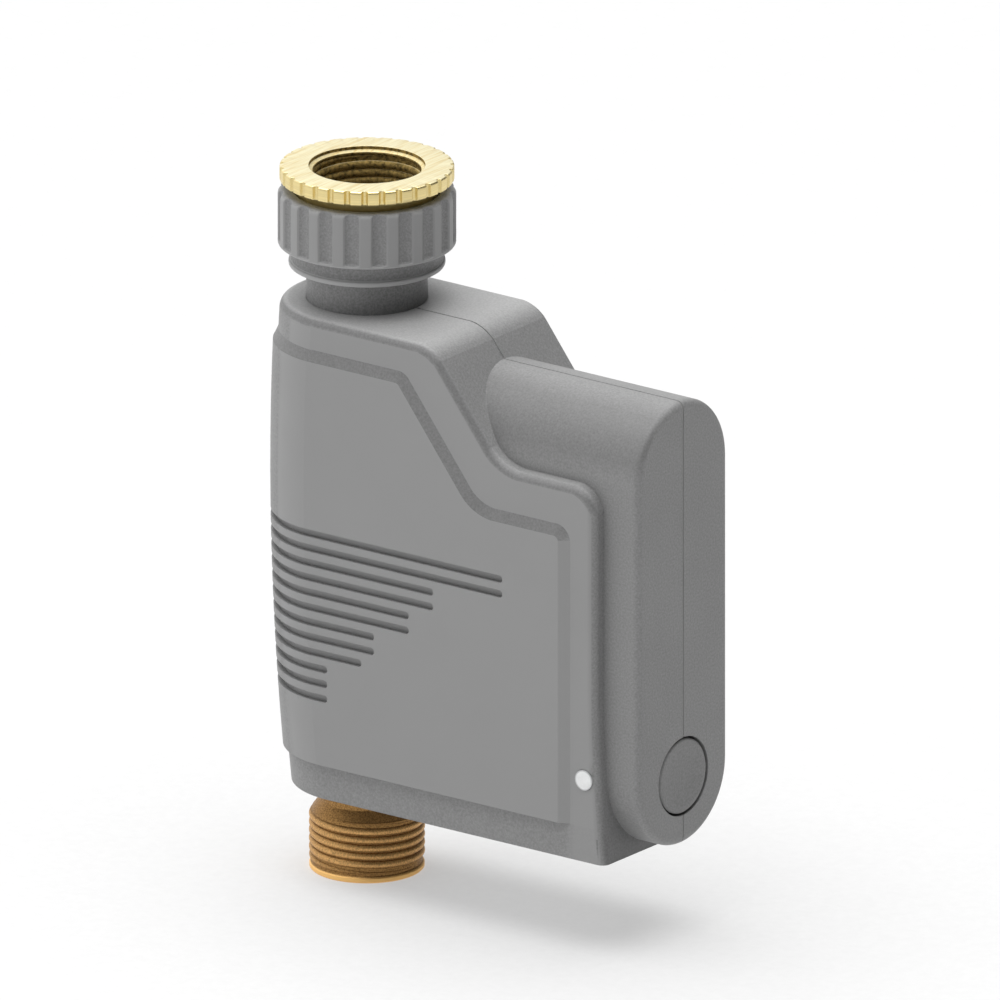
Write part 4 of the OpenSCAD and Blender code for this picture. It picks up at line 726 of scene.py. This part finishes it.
class TIMER_OT_brass_inlet(bpy.types.Operator):
    """Turned brass adapter: notched flange, chamfered mouth and the tap thread inside"""
    bl_idname = "timer.brass_inlet"
    bl_label = "Brass inlet"

    def execute(self, context):
        looks = context.scene.timer_looks
        top, foot = top_of("inlet_adapter") / MM, foot_of("inlet_adapter") / MM
        flange_r, edge_r = half_width("inlet_adapter") / MM, 0.45
        flange_foot, nut_r, bore, crest = top - 3.3, 16.6, 9.5, 12.06
        mouth_r, floor = crest + 1.2, -12.5
        root = crest + looks.thread_depth / MM
        depth = looks.notch_depth / MM
        # Angles: half a notch, widened because its section is round, and one notch to the next. The phase is
        # where the first notch lies, as the photograph shows it
        half = looks.notch_width / MM / flange_r / 2 * 1.15
        pitch, phase = 2 * math.pi / looks.notch_count, 0.3
        angles = []
        for i in range(looks.notch_count):
            middle = (i + phase) * pitch
            angles += [middle + half * k / 4 for k in range(-4, 5)]
            angles += [middle + half + (pitch - 2 * half) * k / 6 for k in range(1, 6)]
        profile = [(bore, foot), (nut_r - 1, foot), (nut_r, foot + 1), (nut_r, flange_foot - 0.4)]
        profile += [(nut_r + 0.2, flange_foot)]
        profile += arc(flange_r - edge_r, flange_foot + edge_r, edge_r, -90, 0, 4)
        profile += arc(flange_r - edge_r, top - edge_r, edge_r, 0, 90, 4)
        profile += [(mouth_r + 0.05, top), (mouth_r, top - 0.05), (mouth_r, top - 0.75)]
        profile += [(crest + 0.35, -0.05), (crest + 0.3, -0.4), (root, -0.9), (root, -10.3), (root, floor)]
        profile += [(bore, floor)]

        def notched(r, z, a):
            """The lesser of the flange's radius and the round-bottomed notch's."""
            off = min(1.0, abs((a + (0.5 - phase) * pitch) % pitch - pitch / 2) / half)
            return min(r, (flange_r - depth * math.sqrt(1 - off * off)) * MM)

        body = revolve("brass_inlet", mm(profile), sorted(angles), notched)
        piece("brass_inlet", body, "coupling", "brass", ["inlet_adapter"], 30)
        thread("brass_inlet_thread", "coupling", "brass", root, -10.2, 9.2)
        return {"FINISHED"}


class TIMER_OT_swivel_nut(bpy.types.Operator):
    """Moulded swivel nut: rounded flutes round the grip, a plain skirt and a hollow inside"""
    bl_idname = "timer.swivel_nut"
    bl_label = "Swivel nut"

    def execute(self, context):
        looks = context.scene.timer_looks
        top, foot = top_of("swivel_nut") / MM, foot_of("swivel_nut") / MM
        grip_foot, skirt_r, grip_r = GRIP_FOOT / MM, 17.85, 20.3
        inner, shelf, neck = 16.65, foot + 3, 14.15
        # A flute starts this far above the grip's foot, deepens over this height and has edges as soft as this
        flute_start, flute_fade, soft = 0.42, 0.55, 0.12
        flute_r, depth = looks.flute_radius / MM, looks.flute_depth / MM
        pitch = 2 * math.pi / looks.flute_count
        centre = grip_r + flute_r - depth
        profile = [(neck, foot)] + arc(skirt_r - 0.5, foot + 0.5, 0.5, -90, 0, 4)
        profile += arc(skirt_r - 0.4, foot + 0.9, 0.4, 0, 80, 4) + [(skirt_r - 0.5, foot + 1.5)]
        profile += arc(skirt_r - 0.2, grip_foot - 0.3, 0.3, 180, 90, 2)
        profile += arc(grip_r - 0.4, grip_foot + 0.4, 0.4, -85, 0, 4)
        profile += [(grip_r, grip_foot + z) for z in (flute_start, 0.55, 0.7, 0.85, 1.0, 4.5, 7.5, 10.5)]
        profile += arc(grip_r - 1.3, top - 1.3, 1.3, 0, 86, 7) + [(inner + 0.6, top), (inner, top - 0.5)]
        profile += [(inner, shelf + 3), (inner, shelf), (neck, shelf)]

        def fluted(r, z, a):
            """The lesser of the grip's radius and the flute's, blended where they are close."""
            if r < skirt_r * MM + 1e-6 or z < (grip_foot + flute_start) * MM:
                return r
            rise = min(1.0, (z / MM - grip_foot - flute_start) / flute_fade)
            deepened = rise * rise * (3 - 2 * rise)
            off = a % pitch - pitch / 2
            side = centre * math.sin(off)
            if abs(side) >= flute_r:
                return r
            near, far = r / MM, centre * math.cos(off) - math.sqrt(flute_r * flute_r - side * side)
            share = max(0.0, min(1.0, 0.5 + (near - far) / (2 * soft)))
            eased = near * (1 - share) + far * share - soft * share * (1 - share)
            return (near + (max(skirt_r + 0.05, min(eased, near)) - near) * deepened) * MM

        body = revolve("fluted_nut", mm(profile), even(looks.flute_count * 32), fluted)
        body.materials.append(material("nut"))
        body.materials.append(material("neck"))
        # Painted shade: the set-back band under the grip takes the darker neck plastic, for the shade that the
        # grip casts on it.
        for face in body.polygons:  # the set-back band between the bead and the grip is as dark as the neck
            face.material_index = int((foot + 1.4) * MM < face.center.z < (grip_foot - 0.1) * MM)
        piece("fluted_nut", body, "coupling", "nut", ["swivel_nut"], 40)
        return {"FINISHED"}


class TIMER_OT_outlet(bpy.types.Operator):
    """Turned bronze outlet: plain bore, rounded mouth, the hose thread, a cone and the neck"""
    bl_idname = "timer.outlet"
    bl_label = "Bronze outlet"

    def execute(self, context):
        looks = context.scene.timer_looks
        foot, top = foot_of("outlet_nipple") / MM, top_of("outlet_nipple") / MM
        crest, bore, neck = half_width("outlet_nipple") / MM, 8.5, 10.8
        root = crest - looks.thread_depth / MM
        thread_top, mouth_r = foot + 14.2, 0.8
        profile = arc(bore + mouth_r, foot + mouth_r, mouth_r, 180, 270, 4)
        profile += [(crest - 0.4, foot), (crest - 0.1, foot + 0.3), (crest - 0.1, foot + 1.1)]
        profile += [(root, foot + 1.6), (root, thread_top - 0.4), (root - 0.1, thread_top)]
        profile += [(neck + 0.3, thread_top + 1.9), (neck, thread_top + 2.4)]
        for z in (top - 9, top - 4):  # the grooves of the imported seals
            profile += [(neck, z - 0.7), (neck - 1, z - 0.7), (neck - 1, z + 0.7), (neck, z + 0.7)]
        profile += [(neck, top - 0.4), (neck - 0.4, top), (bore, top)]
        body = revolve("bronze_outlet", mm(profile), even(160))
        piece("bronze_outlet", body, "housing", "bronze", ["outlet_nipple"], 30)
        thread("bronze_outlet_thread", "housing", "bronze", root, foot + 2.1, 12.2)
        return {"FINISHED"}


class TIMER_OT_strainer(bpy.types.Operator):
    """Stainless gauze over the strainer's spokes, down inside the inlet"""
    bl_idname = "timer.strainer"
    bl_label = "Strainer gauze"

    def execute(self, context):
        looks = context.scene.timer_looks
        net = grown("strainer_gauze", gauze_tree(), {
            "Radius": 8.4 * MM, "Wires": looks.gauze_wires, "Wire Radius": looks.gauze_wire,
            "Height": foot_of("filter_screen") + 0.8 * MM, "Material": material("steel")})
        piece("strainer_gauze", net, "housing", "steel", smooth=60)
        paint("filter_screen", "steel")
        return {"FINISHED"}


class TIMER_OT_screws(bpy.types.Operator):
    """Cross-recessed pan heads of the housing screws and the door screw"""
    bl_idname = "timer.screws"
    bl_label = "Screw heads"

    def execute(self, context):
        tree = screw_tree()
        # Node, body, then the head's radius and height and the shank's radius in millimetres, and the piece
        groups = (("housing_screws", "housing", 2.7, 2.0, 1.5, "housing_screw_heads"),
                  ("door_screw", "door", 1.9, 1.0, 1.0, "door_screw_head"))
        for node, body, head_r, head_h, shank_r, name in groups:
            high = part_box(node)[1].y
            spots = screw_spots(NODES[node].data, high)
            base = bpy.data.meshes.new(name + "_spots")
            base.from_pydata([(x, high - head_h * MM, z) for x, z in spots], [], [])
            heads = grown(name, tree, {
                "Head Radius": head_r * MM, "Head Height": head_h * MM, "Slot Width": head_r * 0.3 * MM,
                "Slot Length": head_r * 1.2 * MM, "Facing": (math.radians(-90), 0, 0),
                "Material": material("steel")}, base)
            shank = shanks(name + "_shanks", spots, node, shank_r * MM, head_h * MM)
            join = bmesh.new()
            join.from_mesh(heads)
            join.from_mesh(shank)
            join.to_mesh(heads)
            join.free()
            piece(name, heads, body, "steel", [node], 35)
        return {"FINISHED"}


def screw_spots(mesh, high):
    """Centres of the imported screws' heads, found from the highest vertices: those of one head lie close."""
    head_reach = 7 * MM
    heads = []
    for p in [v.co for v in mesh.vertices if v.co.y > high - 1e-5]:
        for head in heads:
            if (head[0].x - p.x) ** 2 + (head[0].z - p.z) ** 2 < head_reach ** 2:
                head.append(p)
                break
        else:
            heads.append([p])
    centres = []
    for head in heads:
        xs, zs = [p.x for p in head], [p.z for p in head]
        centres.append(((min(xs) + max(xs)) / 2, (min(zs) + max(zs)) / 2))
    return centres


def shanks(name, spots, node, radius, head_h):
    """Shanks with the rings of a rolled thread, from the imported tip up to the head."""
    low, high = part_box(node)
    reach = high.y - head_h - low.y
    rings, sides = int(reach / (0.8 * MM)), 24
    tip_share, root_share = 0.3, 0.8
    bm = bmesh.new()
    for x, z in spots:
        before = None
        for k in range(2 * rings + 1):
            y = low.y + reach * k / (2 * rings)
            r = radius * (tip_share if k == 0 else 1.0 if k % 2 else root_share)
            ring = [bm.verts.new((x + r * math.cos(a), y, z + r * math.sin(a))) for a in even(sides)]
            if before:
                for i in range(sides):
                    bm.faces.new((before[i], before[(i + 1) % sides], ring[(i + 1) % sides], ring[i]))
            else:
                bm.faces.new(ring)
            before = ring
        bm.faces.new(before)
    bmesh.ops.recalc_face_normals(bm, faces=bm.faces)
    mesh = bpy.data.meshes.new(name)
    bm.to_mesh(mesh)
    bm.free()
    return mesh


class TIMER_OT_plastics(bpy.types.Operator):
    """Moulded plastics: housing halves, door, button, neck, valve body, gears and gearbox"""
    bl_idname = "timer.plastics"
    bl_label = "Moulded plastics"

    def execute(self, context):
        for name in ("front_shell", "rear_shell", "battery_door"):
            paint(name, "housing")
        paint("button_cap", "button")
        paint("inlet_neck", "neck")
        for name in ("gearbox_base", "gearbox_cover", "battery_cassette", "tact_switch"):
            paint(name, "inner")
        for name in ("valve_body", "output_gear", "idler_gear_1", "idler_gear_2"):
            paint(name, "acetal")
        for name in ("upper_seat", "lower_seat", "board_connectors"):
            paint(name, "ptfe")
        return {"FINISHED"}


class TIMER_OT_metals(bpy.types.Operator):
    """Steel and brass parts of the valve, the gear train and the power supply"""
    bl_idname = "timer.metals"
    bl_label = "Inner metals"

    def execute(self, context):
        for name in ("valve_ball", "valve_stem", "motor_shaft", "idler_pins", "gearbox_screws", "motor",
                     "battery_contacts", "radio_module", "board_screws"):
            paint(name, "steel")
        paint("motor_pinion", "brass")
        return {"FINISHED"}


class TIMER_OT_seals(bpy.types.Operator):
    """Rubber washers, rings and gaskets"""
    bl_idname = "timer.seals"
    bl_label = "Seals"

    def execute(self, context):
        for name in ("tap_washer", "neck_washer", "neck_o_ring", "neck_seal", "stem_o_rings",
                     "outlet_o_rings"):
            paint(name, "rubber")
        for name in ("housing_gasket", "door_gasket"):
            paint(name, "grey rubber")
        return {"FINISHED"}


class TIMER_OT_electronics(bpy.types.Operator):
    """Board, cells and the milky light guide over the lamp"""
    bl_idname = "timer.electronics"
    bl_label = "Electronics"

    def execute(self, context):
        paint("circuit_board", "board")
        paint("battery_cells", "jacket")
        paint("status_led", "guide")
        paint("light_pipe", "guide")
        return {"FINISHED"}


class TIMER_OT_stage(bpy.types.Operator):
    """Pale floor, soft studio light and the camera at the photograph's angle"""
    bl_idname = "timer.stage"
    bl_label = "Stage"

    def execute(self, context):
        scene = context.scene
        low, reach = CAD_BOX[0].z, 6.0
        mesh = bpy.data.meshes.new("floor")
        mesh.from_pydata([(x * reach, y * reach, low) for x, y in ((-1, -1), (1, -1), (1, 1), (-1, 1))],
                         [], [(0, 1, 2, 3)])
        floor = bpy.data.objects.new("floor", mesh)
        scene.collection.objects.link(floor)
        mat, tree, body, place = finish_of("backlit matt acrylic", "#acacac", 0.95, **{
            "Specular IOR Level": 0.0, "Emission Color": (1, 1, 1, 1), "Emission Strength": 0.435})
        dress(tree, body, tint(tree, grain(tree, place, 2 * MM), "#aaaaaa", "#aeaeae"))
        mesh.materials.append(mat)

        # The room is brightest to the left of the part, and glows a little behind it
        scene.world = bpy.data.worlds.new("studio")
        scene.world.use_nodes = True
        sky = scene.world.node_tree
        way = add(sky, "ShaderNodeTexCoord").outputs["Generated"]
        from_left, from_behind = (
            add(sky, "ShaderNodeVectorMath", {"operation": "DOT_PRODUCT", 1: Vector(side).normalized()},
                {0: way}).outputs["Value"] for side in ((-1.0, -0.15, 0.0), (-0.6, 0.78, 0.2)))
        level = maths(sky, "ADD", between(sky, from_left, 0.0, 1.12, -0.4, 1.0),
                      between(sky, from_behind, 0.0, 0.25, 0.55, 1.0))
        background = sky.nodes["Background"]
        background.inputs["Color"].default_value = (1, 1, 1, 1)
        sky.links.new(level, background.inputs["Strength"])

        lamp = bpy.data.lights.new("overhead softbox", "AREA")
        lamp.shape = "DISK"
        lamp.size = 5.4
        lamp.energy = 240.0
        holder = bpy.data.objects.new("overhead softbox", lamp)
        holder.location = VIEW_MIDDLE + Vector((0, 0, 4.0))
        scene.collection.objects.link(holder)

        turn, tilt = math.radians(VIEW_TURN), math.radians(VIEW_TILT)
        toward = Vector((math.sin(turn) * math.cos(tilt), -math.cos(turn) * math.cos(tilt), math.sin(tilt)))
        lens = bpy.data.cameras.new("camera")
        lens.type = "ORTHO"
        lens.ortho_scale = FRAME_WIDTH / PIXELS_PER_MM * MM
        camera = bpy.data.objects.new("camera", lens)
        camera.location = VIEW_MIDDLE + toward * 1.2
        camera.rotation_euler = (-toward).to_track_quat("-Z", "Y").to_euler()
        scene.collection.objects.link(camera)
        scene.camera = camera
        scene.view_settings.view_transform = "Standard"
        return {"FINISHED"}


OPERATORS = (TIMER_OT_plastics, TIMER_OT_metals, TIMER_OT_seals, TIMER_OT_electronics, TIMER_OT_brass_inlet,
             TIMER_OT_swivel_nut, TIMER_OT_outlet, TIMER_OT_strainer, TIMER_OT_screws, TIMER_OT_stage)


class TIMER_PT_looks(bpy.types.Panel):
    """Lists the pieces and their sizes and colours"""
    bl_idname = "TIMER_PT_looks"
    bl_label = "Water timer"
    bl_space_type = "VIEW_3D"
    bl_region_type = "UI"
    bl_category = "Water timer"

    def draw(self, context):
        for name in TimerLooks.__annotations__:
            self.layout.prop(context.scene.timer_looks, name)
        for kind in OPERATORS:
            self.layout.operator(kind.bl_idname)


CLASSES = (TimerLooks,) + OPERATORS + (TIMER_PT_looks,)


def register():
    for kind in CLASSES:
        bpy.utils.register_class(kind)
    bpy.types.Scene.timer_looks = bpy.props.PointerProperty(type=TimerLooks)


def unregister():
    del bpy.types.Scene.timer_looks
    for kind in reversed(CLASSES):
        bpy.utils.unregister_class(kind)


def main():
    register()
    for kind in OPERATORS:
        group, step = kind.bl_idname.split(".")
        if "FINISHED" not in getattr(getattr(bpy.ops, group), step)():
            raise RuntimeError(kind.bl_idname + " did not finish")


if __name__ == "__main__":
    main()
